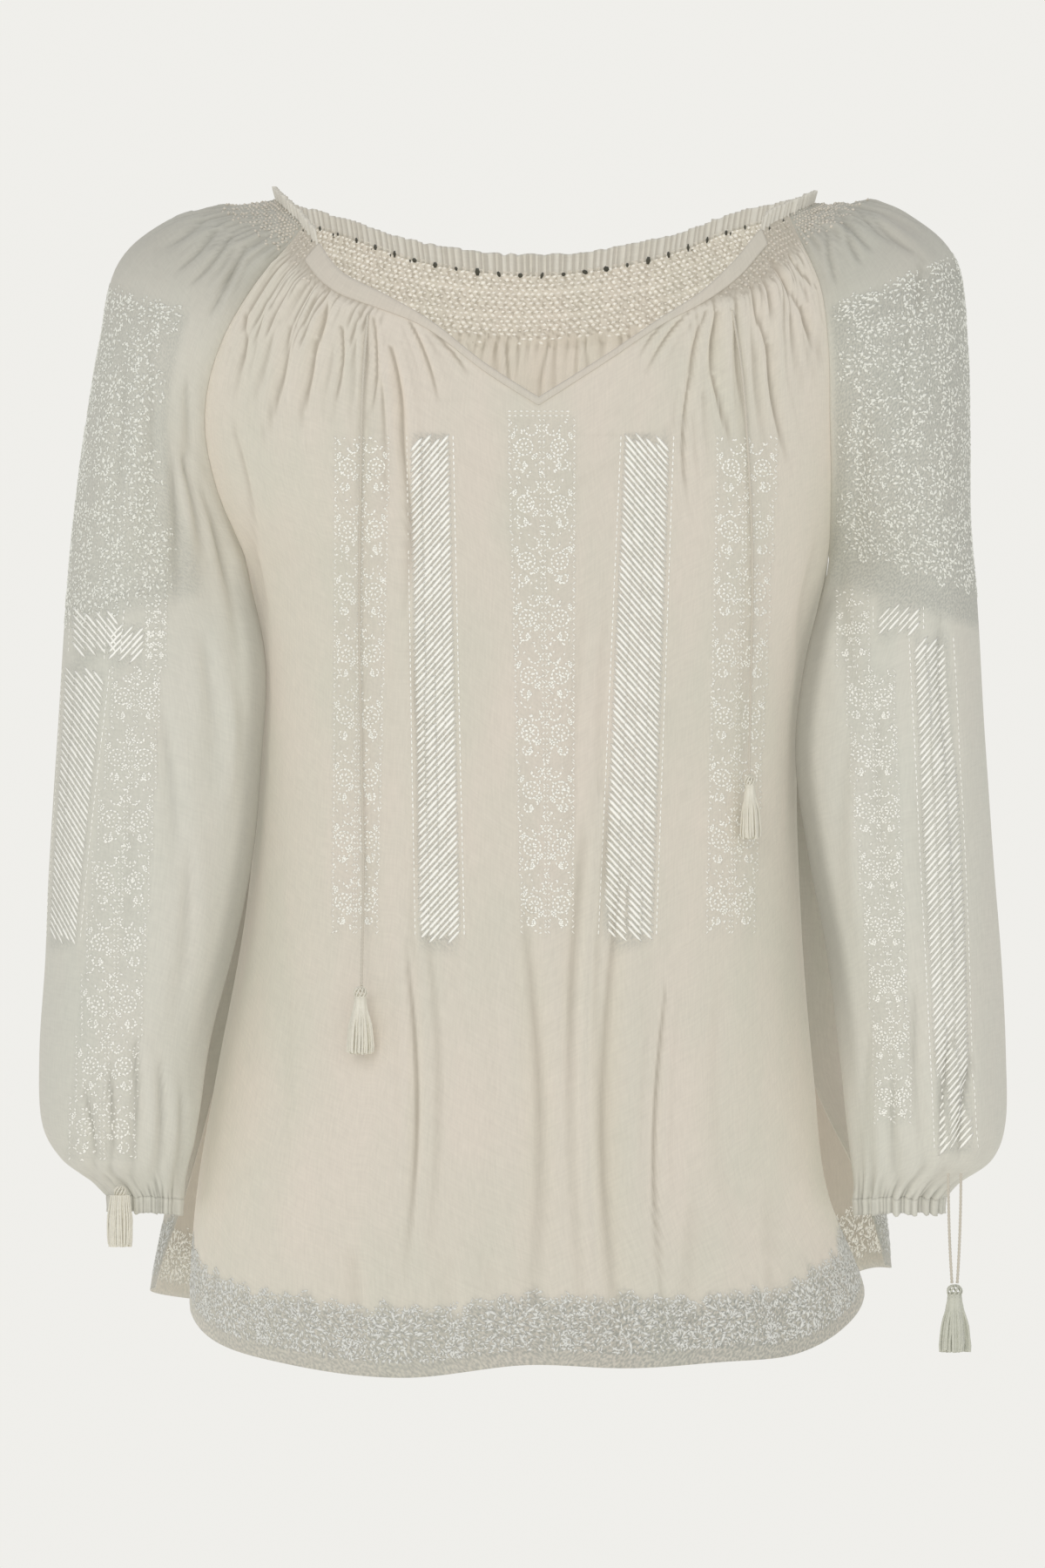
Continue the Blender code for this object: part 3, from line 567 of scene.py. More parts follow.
class Surface:
    """A cloth surface on two coordinates, with a way to find its points, normals and places."""

    step_u: float = 0.004
    step_v: float = 1.0

    def points(self, u: Any, v: Any, out: Any = 0.0) -> np.ndarray:
        """Points of the surface with its relief, in millimetres."""
        raise NotImplementedError

    def outward(self, u: np.ndarray, v: np.ndarray) -> np.ndarray:
        """A rough direction away from the hollow at each place."""
        raise NotImplementedError

    def place(self, x: np.ndarray, drop: np.ndarray) -> tuple[np.ndarray, np.ndarray]:
        """The surface coordinates of the places at x and drop."""
        raise NotImplementedError

    def normals(self, u: np.ndarray, v: np.ndarray) -> np.ndarray:
        """Unit normals that point away from the hollow.

        Args:
            u: First coordinates.
            v: Second coordinates.

        Returns:
            One unit vector for each place.
        """
        side = self.points(u + self.step_u, v) - self.points(u - self.step_u, v)
        down = self.points(u, v + self.step_v) - self.points(u, v - self.step_v)
        normal = unit(np.cross(side, down))
        turn = np.sign(np.sum(normal * self.outward(u, v), axis=-1, keepdims=True))
        return normal * np.where(turn == 0, 1, turn)


@dataclass(frozen=True)
class PanelSurface(Surface):
    """The front or back of the body."""

    rows: Sequence[PanelRow]
    neck: Callable[[Any], np.ndarray]
    hem: Sequence[EdgeRow]
    folds: Sequence[FoldRow]
    creases: Sequence[CreaseRow]
    smocking_foot: Sequence[EdgeRow]
    gathers: Sequence[Gathers]
    plain: tuple[float, float, float, float]
    strip: Sequence[StripRow] = ()
    neck_reach: float = 150.0
    smocking_pitch: float = 4.1
    smocking_height: float = 0.75

    def fullness(self, across: np.ndarray) -> np.ndarray:
        """How much of the gathers shows: none beside the neck opening, all elsewhere."""
        start, full_left, full_right, end = self.plain
        return 1 - ease(across, start, full_left) * (1 - ease(across, full_right, end))

    def smocked(self, across: np.ndarray, drop: np.ndarray) -> np.ndarray:
        """How far each place lies within the smocking."""
        foot, = smooth_columns(self.smocking_foot, across)
        return (1 - ease(drop - foot, -4, 4)) * self.fullness(across)

    def relief(self, across: np.ndarray, drop: np.ndarray) -> np.ndarray:
        """The height of folds, gathers, smocking and creases, in millimetres.

        Args:
            across: Places across the panel, from -1 to 1.
            drop: Places downward, in millimetres.

        Returns:
            Heights in millimetres.
        """
        along = across * self.neck_reach
        foot, = smooth_columns(self.smocking_foot, across)
        below = drop - foot
        smocked = self.smocked(across, drop)
        total = honeycomb(along, drop - self.neck(across), self.smocking_pitch, self.smocking_height)
        total = total * smocked
        for band in self.gathers:
            total = total + band.heights(along, below) * ease(below, -5, 5) * self.fullness(across)
        bare = panel_points(self.rows, across, drop)
        total = total + crease_heights(self.creases, bare[..., 0], drop)
        drift = 0.5 * np.sin(across * 7.1 + drop / 83.0) + 0.4 * np.sin(across * 13.7 - drop / 121.0 + 1.3)
        total = total + drift * ease(drop, 60, 200)
        total = total * ease(1 - np.abs(across), 0.0, 0.045)
        if self.strip:
            width, = smooth_columns(self.strip, across)
            within = ease(across, OPENING_LEFT - BESIDE_OPENING, OPENING_LEFT)
            within = within * (1 - ease(across, OPENING_RIGHT, OPENING_RIGHT + BESIDE_OPENING))
            beside = 1 - within
            total = total * np.maximum(ease(drop - self.neck(across), width - 1, width + 4), beside)
        return total + fold_height(self.folds, across, drop)

    def points(self, u: Any, v: Any, out: Any = 0.0) -> np.ndarray:
        """Points of the surface with its relief, in millimetres."""
        u, v = np.broadcast_arrays(np.asarray(u, dtype=float), np.asarray(v, dtype=float))
        return panel_points(self.rows, u, v, self.relief(u, v) + out)

    def outward(self, u: np.ndarray, v: np.ndarray) -> np.ndarray:
        """A rough direction away from the hollow at each place."""
        return panel_points(self.rows, u, v, 1.0) - panel_points(self.rows, u, v, 0.0)

    def place(self, x: np.ndarray, drop: np.ndarray) -> tuple[np.ndarray, np.ndarray]:
        """The place across and the drop of the points at x and drop.

        Args:
            x: Places to the right, in millimetres.
            drop: Places downward, in millimetres.

        Returns:
            Places across and drops.
        """
        across = across_at_x(self.rows, x, drop)
        for _ in range(2):
            miss = x - self.points(across, drop)[..., 0]
            across = np.clip(across + miss / 185.0, -0.995, 0.995)
        return across, np.asarray(drop, dtype=float)


@dataclass(frozen=True)
class SleeveSurface(Surface):
    """A raglan sleeve: an arc over the shoulder, then a closed tube to the cuff."""

    outer: Sequence[OuterRow]
    seams: Sequence[SeamRow]
    inner: Sequence[InnerRow]
    creases: Sequence[CreaseRow]
    side: int
    gathers: Sequence[Gathers]
    cuff_gathers: Sequence[Gathers]
    smocked_station: float = 0.85
    last_station: float = 16.0
    cuff_rise: float = 15.0
    girth: float = 330.0
    neck_arc: float = 130.0
    neck_step: float = 30.0
    smocking_pitch: float = 4.1
    smocking_height: float = 0.6

    step_u = 0.006
    step_v = 0.06

    def seam_ends(self, station: np.ndarray) -> tuple[np.ndarray, np.ndarray]:
        """The front and back ends of each section.

        Args:
            station: Places down the sleeve.

        Returns:
            The front points and the back points, in millimetres.
        """
        front_drop, back_drop = smooth_columns(self.seams, station)
        side = np.full(np.shape(station), float(self.side))
        front = panel_points(FRONT_ROWS, side, front_drop)
        back = panel_points(BACK_ROWS, side, back_drop)
        x, y, drop = smooth_columns(self.inner, station)
        inner = np.stack([x, y, -drop], axis=-1)
        closed = ease(station, 6.75, 7.25)[..., None]
        return front + closed * (inner - front), back + closed * (inner - back)

    def bare(self, around: np.ndarray, station: np.ndarray) -> np.ndarray:
        """Points of the sleeve with no relief, in millimetres.

        Args:
            around: Places around the sleeve, from 0 at the front seam to 1 at the back seam.
            station: Places down the sleeve, by station.

        Returns:
            Points in millimetres.
        """
        x, y, drop, half_depth, roundness = smooth_columns(self.outer, station)
        crown = np.stack([x, y, -drop], axis=-1)
        front, back = self.seam_ends(station)
        middle = 0.5 * (front + back)
        reach = np.clip(np.sin(math.pi * around), 0, 1) ** roundness
        swing = 0.5 * np.cos(math.pi * around)
        points = middle + reach[..., None] * (crown - middle) + swing[..., None] * (front - back)
        points[..., 1] -= half_depth * np.sin(2 * math.pi * around)
        return points

    def bare_normals(self, around: np.ndarray, station: np.ndarray) -> np.ndarray:
        """Unit normals of the sleeve with no relief.

        Args:
            around: Places around the sleeve, from 0 at the front seam to 1 at the back seam.
            station: Places down the sleeve, by station.

        Returns:
            One unit vector for each place.
        """
        low, high = np.clip(around - 0.01, 0, 1), np.clip(around + 0.01, 0, 1)
        side = self.bare(high, station) - self.bare(low, station)
        up, down = np.clip(station - 0.15, 0, 16), np.clip(station + 0.15, 0, 16)
        normal = unit(np.cross(side, self.bare(around, down) - self.bare(around, up)))
        turn = np.sign(np.sum(normal * self.outward(around, station), axis=-1, keepdims=True))
        return normal * np.where(turn == 0, 1, turn)

    def relief(self, around: np.ndarray, station: np.ndarray, points: np.ndarray) -> np.ndarray:
        """The height of gathers, smocking and creases, in millimetres.

        Args:
            around: Places around the sleeve, from 0 at the front seam to 1 at the back seam.
            station: Places down the sleeve, by station.
            points: Points of those places with no relief.

        Returns:
            Heights in millimetres.
        """
        along = (around - 0.5) * self.neck_arc
        depth = station * self.neck_step
        smocked = 1 - ease(station, self.smocked_station, self.smocked_station + 0.4)
        total = honeycomb(along, depth, self.smocking_pitch, self.smocking_height) * smocked
        for band in self.gathers:
            shown = ease(station, self.smocked_station - 0.2, self.smocked_station + 0.2)
            total = total + band.heights(along, depth - self.smocked_station * self.neck_step) * shown
        rise = (self.last_station - station) * self.cuff_rise
        for band in self.cuff_gathers:
            total = total + band.heights(around * self.girth, rise)
        front = 1 - ease(around, 0.46, 0.54)
        x, drop = points[..., 0], -points[..., 2]
        total = total + front * crease_heights(self.creases, x, drop)
        total = total + (1 - front) * crease_heights(self.creases, x + 9, drop + 13)
        drift = 0.7 * np.sin(around * 17.0 + station * 0.9) + 0.6 * np.sin(around * 9.0 - station * 1.4)
        total = total + drift * ease(station, 3, 6)
        return total * ease(np.minimum(around, 1 - around), 0.0, 0.03)

    def points(self, u: Any, v: Any, out: Any = 0.0) -> np.ndarray:
        """Points of the surface with its relief, in millimetres.

        Args:
            u: Places around the sleeve, from 0 at the front seam to 1 at the back seam.
            v: Places down the sleeve, by station.
            out: How far off the cloth, in millimetres.

        Returns:
            The points.
        """
        u, v = np.broadcast_arrays(np.asarray(u, dtype=float), np.asarray(v, dtype=float))
        u, v = np.clip(u, 0, 1), np.clip(v, 0, self.last_station)
        bare = self.bare(u, v)
        lift = self.relief(u, v, bare) + out
        return bare + self.bare_normals(u, v) * np.asarray(lift)[..., None]

    def outward(self, u: np.ndarray, v: np.ndarray) -> np.ndarray:
        """A rough direction away from the hollow at each place.

        Args:
            u: Places around the sleeve, from 0 at the front seam to 1 at the back seam.
            v: Places down the sleeve, by station.

        Returns:
            One direction for each place.
        """
        front, back = self.seam_ends(v)
        middle = 0.5 * (front + back)
        x, y, drop, _, _ = smooth_columns(self.outer, v)
        crown = np.stack([x, y, -drop], axis=-1)
        open_arc = (1 - ease(v, 2, 6))[..., None]
        centre = middle + (0.5 - 0.6 * open_arc) * (crown - middle)
        centre[..., 2] -= 60.0 * open_arc[..., 0]
        return self.bare(u, v) - centre

    def place(self, x: np.ndarray, drop: np.ndarray) -> tuple[np.ndarray, np.ndarray]:
        """The place around the front half and the station of the points at x and drop.

        Args:
            x: Places to the right, in millimetres.
            drop: Places downward, in millimetres.

        Returns:
            Places around and stations.
        """
        table = np.array(self.outer, dtype=float)
        station = np.interp(drop, table[:, 3], table[:, 0])
        around = np.full(np.shape(x), 0.3)
        for _ in range(8):
            crown_x, _, _, _, roundness = smooth_columns(self.outer, station)
            front, back = self.seam_ends(station)
            part = (x - 0.5 * (front + back)[..., 0]) / (crown_x - 0.5 * (front + back)[..., 0])
            part = np.clip(part, 0.0, 0.995) ** (1 / roundness)
            around = np.arcsin(part) / math.pi
            miss = drop + self.bare(around, station)[..., 2]
            station = np.clip(station + 0.8 * miss / SLEEVE_STEP, 0, self.last_station)
        return around, station


class Stitches(NamedTuple):
    """Straight stitches as ends in the plane of a surface, with their widths."""

    ends: np.ndarray
    widths: np.ndarray


def joined(parts: Sequence[Stitches]) -> Stitches:
    """Several groups of stitches as one."""
    return Stitches(np.concatenate([p.ends for p in parts]), np.concatenate([p.widths for p in parts]))


def stitches(ends: Any, width: float) -> Stitches:
    """Stitches of one width from rows of x, drop, x, drop."""
    ends = np.asarray(ends, dtype=float).reshape(-1, 4)
    return Stitches(ends, np.full(len(ends), width))


@dataclass
class Needle:
    """Draws the motifs of the embroidery, each a group of straight stitches."""

    seed: int
    width: float = 1.5
    draw: np.random.Generator = field(init=False)

    def __post_init__(self) -> None:
        """Start the needle's own run of uneven values."""
        self.draw = np.random.default_rng(self.seed)

    def petals(self, x: float, drop: float, inner: float, outer: float, count: int) -> Stitches:
        """A ring of radial stitches.

        Args:
            x: Centre of the ring.
            drop: Centre of the ring.
            inner: Inner radius.
            outer: Outer radius.
            count: How many stitches.

        Returns:
            The stitches.
        """
        angle = np.linspace(0, 2 * math.pi, count, endpoint=False) + self.draw.uniform(0, 1)
        reach = outer * self.draw.uniform(0.86, 1.12, count)
        ends = np.stack([
            x + inner * np.cos(angle), drop + inner * np.sin(angle),
            x + reach * np.cos(angle), drop + reach * np.sin(angle),
        ], axis=-1)
        return stitches(ends, self.width)

    def scroll(
        self, x: float, drop: float, radius: float, start: float, turn: float, shrink: float = 0.0
    ) -> Stitches:
        """A curl of short stitches laid end to end.

        Args:
            x: Centre of the curl.
            drop: Centre of the curl.
            radius: Its radius where it starts.
            start: Angle where it starts, in radians.
            turn: Angle that it turns through.
            shrink: Share of the radius lost by its end.

        Returns:
            The stitches.
        """
        count = max(3, int(abs(turn) * radius / 2.3))
        part = np.linspace(0, 1, count + 1)
        angle = start + turn * part
        reach = radius * (1 - shrink * part)
        line = np.stack([x + reach * np.cos(angle), drop + reach * np.sin(angle)], axis=-1)
        return stitches(np.concatenate([line[:-1], line[1:]], axis=-1), self.width)

    def leaf(self, x: float, drop: float, angle: float, length: float) -> Stitches:
        """A leaf of slanted stitches either side of its rib.

        Args:
            x: The leaf's foot.
            drop: The leaf's foot.
            angle: The way that it points, in radians.
            length: Its length.

        Returns:
            The stitches.
        """
        along = np.linspace(0.1, 0.9, 4)
        across = 0.34 * length * np.sin(math.pi * along)
        turned = np.array([math.cos(angle), math.sin(angle)])
        aside = np.array([-turned[1], turned[0]])
        rib = np.array([x, drop]) + along[:, None] * length * turned
        ends = []
        for side in (-1, 1):
            tip = rib + side * across[:, None] * aside + 0.22 * length * turned
            ends.append(np.concatenate([rib, tip], axis=-1))
        return stitches(np.concatenate(ends), 0.85 * self.width)

    def run(self, x0: float, drop0: float, x1: float, drop1: float, length: float, gap: float) -> Stitches:
        """A line of running stitches.

        Args:
            x0: Start of the line.
            drop0: Start of the line.
            x1: End of the line.
            drop1: End of the line.
            length: Length of each stitch.
            gap: Space between stitches.

        Returns:
            The stitches.
        """
        run = np.array([x1 - x0, drop1 - drop0])
        total = float(np.hypot(*run))
        starts = np.arange(0, max(total - length, 0.1), length + gap)
        heads = np.array([x0, drop0]) + starts[:, None] / total * run
        tails = heads + length / total * run
        return stitches(np.concatenate([heads, tails], axis=-1), 0.7 * self.width)

    def seeds(self, x: np.ndarray, drop: np.ndarray, length: float) -> Stitches:
        """Small scattered stitches centred at the places given.

        Args:
            x: Centres of the stitches.
            drop: Centres of the stitches.
            length: Their usual length.

        Returns:
            The stitches.
        """
        angle = self.draw.uniform(0, math.pi, len(x))
        half = 0.5 * length * self.draw.uniform(0.6, 1.3, len(x))
        reach = np.stack([half * np.cos(angle), half * np.sin(angle)], axis=-1)
        spot = np.stack([x, drop], axis=-1)
        return stitches(np.concatenate([spot - reach, spot + reach], axis=-1), 0.85 * self.width)

    def star(self, x: float, drop: float, radius: float) -> Stitches:
        """A star flower: an eye, a ring of petals and four small leaves between them.

        Args:
            x: Centre of the flower.
            drop: Centre of the flower.
            radius: Reach of its petals.

        Returns:
            The stitches.
        """
        parts = [
            self.petals(x, drop, 0.12 * radius, 0.36 * radius, 5),
            self.petals(x, drop, 0.46 * radius, radius, 9),
        ]
        for quarter in range(4):
            angle = math.pi * (0.25 + 0.5 * quarter)
            place = (x + 1.08 * radius * math.cos(angle), drop + 1.08 * radius * math.sin(angle))
            parts.append(self.seeds(np.array([place[0]]), np.array([place[1]]), 2.6))
        return joined(parts)

    def rosette(self, x: float, drop: float, radius: float) -> Stitches:
        """A round flower worked as a ring with short rays inside.

        Args:
            x: Centre of the flower.
            drop: Centre of the flower.
            radius: Radius of its ring.

        Returns:
            The stitches.
        """
        return joined([
            self.scroll(x, drop, radius, self.draw.uniform(0, 6), 2 * math.pi),
            self.petals(x, drop, 0.2 * radius, 0.68 * radius, 6),
        ])


def column_edges(column: ColumnRow, drop: Any) -> tuple[np.ndarray, np.ndarray]:
    """The left and right edges of an embroidered column at the drops given.

    Args:
        column: The column.
        drop: Places downward, in millimetres.

    Returns:
        The left edges and the right edges.
    """
    part = (np.asarray(drop, dtype=float) - column.top) / (column.bottom - column.top)
    left = column.left_top + (column.left_bottom - column.left_top) * part
    right = column.right_top + (column.right_bottom - column.right_top) * part
    return left, right


@dataclass
class BarColumn:
    """A column of close slanted satin bars between two edging lines."""

    column: ColumnRow
    lean: int
    pitch: float = 3.9
    slope: float = 1.15
    piece: float = 7.5
    width: float = 2.05
    edging: float = 3.2
    seed: int = 5

    def stitch(self) -> Stitches:
        """Lay the bars and the lines beside them.

        Returns:
            The stitches.
        """
        needle = Needle(self.seed)
        column = self.column
        span = column.right_top - column.left_top
        rise = span * self.slope
        parts = []
        for start in np.arange(column.top - rise, column.bottom, self.pitch):
            steps = np.linspace(0, 1, int(math.hypot(span, rise) / self.piece) + 1)
            drop = start + (rise * steps if self.lean < 0 else rise * (1 - steps))
            left, right = column_edges(column, drop)
            x = left + (right - left) * steps
            line = np.stack([x, drop], axis=-1)
            ends = np.concatenate([line[:-1], line[1:]], axis=-1)
            low, high = ends[:, [1, 3]].min(axis=1), ends[:, [1, 3]].max(axis=1)
            kept = (low > column.top - 1) & (high < column.bottom + 1)
            ends = ends[kept]
            spare = 0.22 * (ends[:, 2:] - ends[:, :2])
            ends = np.concatenate([ends[:, :2] - spare, ends[:, 2:] + spare], axis=-1)
            parts.append(Stitches(ends, self.width * needle.draw.uniform(0.9, 1.1, len(ends))))
        for edge, offset in ((0, -self.edging), (1, self.edging)):
            top = column_edges(column, column.top)[edge] + offset
            bottom = column_edges(column, column.bottom)[edge] + offset
            parts.append(needle.run(float(top), column.top, float(bottom), column.bottom, 2.2, 1.4))
        return joined(parts)


class CurlRow(NamedTuple):
    """A curl of the floral columns: place and size as shares of the half width and the repeat, and its turn."""

    aside: float
    down: float
    size: float
    start: float
    turn: float
    shrink: float


class LeafRow(NamedTuple):
    """A leaf of the floral columns: its place as shares of the half width and the repeat, way and length."""

    aside: float
    down: float
    angle: float
    lean: float
    length: float


COLUMN_CURLS = (CurlRow(0.3, -0.32, 0.24, -0.5, 4.2, 0.35), CurlRow(0.62, 0.3, 0.2, 0.5, -4.4, 0.3))
COLUMN_LEAVES = (
    LeafRow(0.12, 0.1, 1.57, -0.7, 4.6), LeafRow(0.9, -0.12, -1.57, -0.35, 4.2),
    LeafRow(0.52, 0.24, 1.57, 0.0, 4.0),
)


@dataclass
class FloralColumn:
    """A column of mirrored rosettes, curls and leaves that repeats down its length."""

    column: ColumnRow
    repeat: float = 34.0
    seed: int = 11
    header: bool = False

    def stitch(self) -> Stitches:
        """Work the column.

        Returns:
            The stitches.
        """
        needle = Needle(self.seed)
        column = self.column
        parts = []
        count = max(1, int(round((column.bottom - column.top) / self.repeat)))
        step = (column.bottom - column.top) / count
        for index in range(count):
            drop = column.top + (index + 0.5) * step
            left, right = (float(v) for v in column_edges(column, drop))
            middle, half = 0.5 * (left + right), 0.5 * (right - left)
            for side in (-1, 1):
                centre = middle + side * 0.52 * half
                radius = min(0.36 * half, 4.8)
                parts.append(needle.rosette(centre, drop, radius))
                for curl in COLUMN_CURLS:
                    parts.append(needle.scroll(
                        middle + side * curl.aside * half, drop + curl.down * step, curl.size * half,
                        math.pi * (0.5 + curl.start * side), side * curl.turn, curl.shrink,
                    ))
                for leaf in COLUMN_LEAVES:
                    parts.append(needle.leaf(
                        middle + side * leaf.aside * half, drop + leaf.down * step,
                        leaf.angle + side * leaf.lean, leaf.length,
                    ))
            for side in (-1.0, -0.06, 0.06, 1.0):
                place = np.arange(drop - 0.5 * step, drop + 0.5 * step, 3.1)
                edge = middle + side * half * 0.97
                lean = np.where(np.arange(len(place)) % 2 == 0, 1.0, -1.0)
                zigzag = np.stack([edge - 0.9 * lean, place, edge + 0.9 * lean, place + 1.9], axis=-1)
                parts.append(stitches(zigzag, 0.8))
            scatter = int(step * half * 2 / 20)
            drops = needle.draw.uniform(drop - 0.5 * step, drop + 0.5 * step, scatter)
            lefts, rights = column_edges(column, drops)
            spots = lefts + (rights - lefts) * needle.draw.uniform(0.02, 0.98, scatter)
            parts.append(needle.seeds(spots, drops, 2.1))
        if self.header:
            for lift in (1.5, 4.0):
                left, right = (float(v) for v in column_edges(column, column.top))
                parts.append(needle.run(left, column.top - lift, right, column.top - lift, 2.4, 0.9))
        return joined(parts)


class Graph:
    """Adds the nodes of one tree and joins them."""

    def __init__(self, tree: bpy.types.NodeTree) -> None:
        """Hold the tree to build in."""
        self.tree = tree

    def add(self, kind: str, inputs: Optional[dict] = None, **settings: Any) -> bpy.types.Node:
        """Add a node.

        Args:
            kind: The node's type name.
            inputs: Values or sockets for its inputs, by name or number.
            settings: Values for its own properties.

        Returns:
            The node.
        """
        node = self.tree.nodes.new(kind)
        for name, value in settings.items():
            setattr(node, name, value)
        for key, value in (inputs or {}).items():
            if isinstance(value, bpy.types.NodeSocket):
                self.tree.links.new(value, node.inputs[key])
            else:
                node.inputs[key].default_value = value
        return node

    def math(self, operation: str, first: Any, second: Any = 0.0) -> bpy.types.NodeSocket:
        """The result of a sum on one or two values."""
        return self.add("ShaderNodeMath", {0: first, 1: second}, operation=operation).outputs[0]

    def noise(self, place: Any, scale: Any, detail: float = 2.0) -> bpy.types.NodeSocket:
        """Soft noise at a scale."""
        inputs = {"Vector": place, "Scale": scale, "Detail": detail}
        return self.add("ShaderNodeTexNoise", inputs).outputs["Fac"]

    def stretched(self, place: Any, scale: tuple[float, float, float]) -> bpy.types.NodeSocket:
        """Places with each axis scaled."""
        return self.add("ShaderNodeMapping", {"Vector": place, "Scale": scale}).outputs[0]

    def remap(
        self, value: Any, taken: tuple[float, float], given: tuple[float, float]
    ) -> bpy.types.NodeSocket:
        """Carry a value from one range to another.

        Args:
            value: The value or socket.
            taken: The range that it comes from.
            given: The range that it is carried to.

        Returns:
            The new value's socket.
        """
        ends = {"From Min": taken[0], "From Max": taken[1], "To Min": given[0], "To Max": given[1]}
        return self.add("ShaderNodeMapRange", {"Value": value, **ends}).outputs[0]

    def blend(self, factor: Any, first: Any, second: Any, way: str = "MIX") -> bpy.types.NodeSocket:
        """Blend two colours.

        Args:
            factor: How much of the second shows.
            first: The first colour or socket.
            second: The second colour or socket.
            way: How they are blended.

        Returns:
            The blended colour's socket.
        """
        colours = {"Factor": factor, 6: first, 7: second}
        return self.add("ShaderNodeMix", colours, data_type="RGBA", blend_type=way).outputs[2]

    def socket(self, name: str, kind: str, way: str, value: Any = None) -> None:
        """Give the tree a named input or output.

        Args:
            name: The socket's name.
            kind: Its type.
            way: Whether it goes in or out.
            value: Its default, if it has one.
        """
        made = self.tree.interface.new_socket(name, in_out=way, socket_type=kind)
        if value is not None:
            made.default_value = value


def blank_material(name: str) -> tuple[bpy.types.Material, Graph, bpy.types.Node]:
    """A new material with its nodes.

    Args:
        name: The material's name.

    Returns:
        The material, what adds its nodes, and its shader.
    """
    material = bpy.data.materials.new(name)
    material.use_nodes = True
    return material, Graph(material.node_tree), material.node_tree.nodes["Principled BSDF"]


def weave_group() -> bpy.types.NodeTree:
    """Plain weave with slubs and a fine crinkle, on a piece's own UV map in metres.

    Returns:
        A group with a Height and a Tone output.
    """
    graph = Graph(bpy.data.node_groups.new("voile_weave", "ShaderNodeTree"))
    for name, value in (("Threads", 1250.0), ("Slub", 0.55), ("Crinkle", 0.8)):
        graph.socket(name, "NodeSocketFloat", "INPUT", value)
    for name in ("Height", "Tone"):
        graph.socket(name, "NodeSocketFloat", "OUTPUT")
    given = graph.add("NodeGroupInput").outputs
    place = graph.add("ShaderNodeUVMap", uv_map="cloth").outputs["UV"]
    threads = []
    for direction in ("X", "Y"):
        wave = graph.add(
            "ShaderNodeTexWave", {"Vector": place, "Scale": given["Threads"], "Distortion": 1.5, "Detail": 1.0},
            wave_type="BANDS", bands_direction=direction,
        )
        threads.append(wave.outputs["Fac"])
    weave = graph.math("MULTIPLY", threads[0], threads[1])
    slub = graph.noise(graph.stretched(place, (820.0, 95.0, 1.0)), 1.0)
    pick = graph.noise(graph.stretched(place, (70.0, 640.0, 1.0)), 1.0, 1.0)
    crinkle = graph.noise(graph.stretched(place, (150.0, 22.0, 1.0)), 1.0, 3.0)
    height = graph.math("MULTIPLY_ADD", slub, given["Slub"])
    graph.tree.links.new(graph.math("MULTIPLY", weave, 0.25), height.node.inputs[2])
    tall = graph.math("MULTIPLY_ADD", crinkle, given["Crinkle"])
    graph.tree.links.new(height, tall.node.inputs[2])
    tone = graph.math("ADD", graph.math("MULTIPLY", slub, 0.6), graph.math("MULTIPLY", pick, 0.4))
    graph.add("NodeGroupOutput", {"Height": tall, "Tone": tone})
    return graph.tree


def drift_group() -> bpy.types.NodeTree:
    """Slow change between two cloth colours over a piece.

    Returns:
        A group with a Color output.
    """
    graph = Graph(bpy.data.node_groups.new("colour_drift", "ShaderNodeTree"))
    for name in ("Warm", "Cool"):
        graph.socket(name, "NodeSocketColor", "INPUT")
    graph.socket("Patch", "NodeSocketFloat", "INPUT", 14.0)
    graph.socket("Color", "NodeSocketColor", "OUTPUT")
    given = graph.add("NodeGroupInput").outputs
    place = graph.add("ShaderNodeTexCoord").outputs["Object"]
    patches = graph.noise(graph.stretched(place, (1.6, 1.0, 0.55)), given["Patch"], 3.0)
    patches.node.inputs["Roughness"].default_value = 0.55
    spread = graph.remap(patches, (0.34, 0.66), (0.0, 1.0))
    graph.add("NodeGroupOutput", {"Color": graph.blend(spread, given["Warm"], given["Cool"])})
    return graph.tree


def ply_group() -> bpy.types.NodeTree:
    """Fine strands of cotton thread.

    Returns:
        A group with a Height and a Tone output.
    """
    graph = Graph(bpy.data.node_groups.new("thread_ply", "ShaderNodeTree"))
    graph.socket("Strands", "NodeSocketFloat", "INPUT", 1800.0)
    for name in ("Height", "Tone"):
        graph.socket(name, "NodeSocketFloat", "OUTPUT")
    given = graph.add("NodeGroupInput").outputs
    place = graph.add("ShaderNodeTexCoord").outputs["Object"]
    fine = graph.noise(place, given["Strands"])
    slow = graph.noise(place, 120.0)
    tone = graph.math("ADD", graph.math("MULTIPLY", fine, 0.5), graph.math("MULTIPLY", slow, 0.5))
    graph.add("NodeGroupOutput", {"Height": fine, "Tone": tone})
    return graph.tree


Colour = tuple[float, float, float]


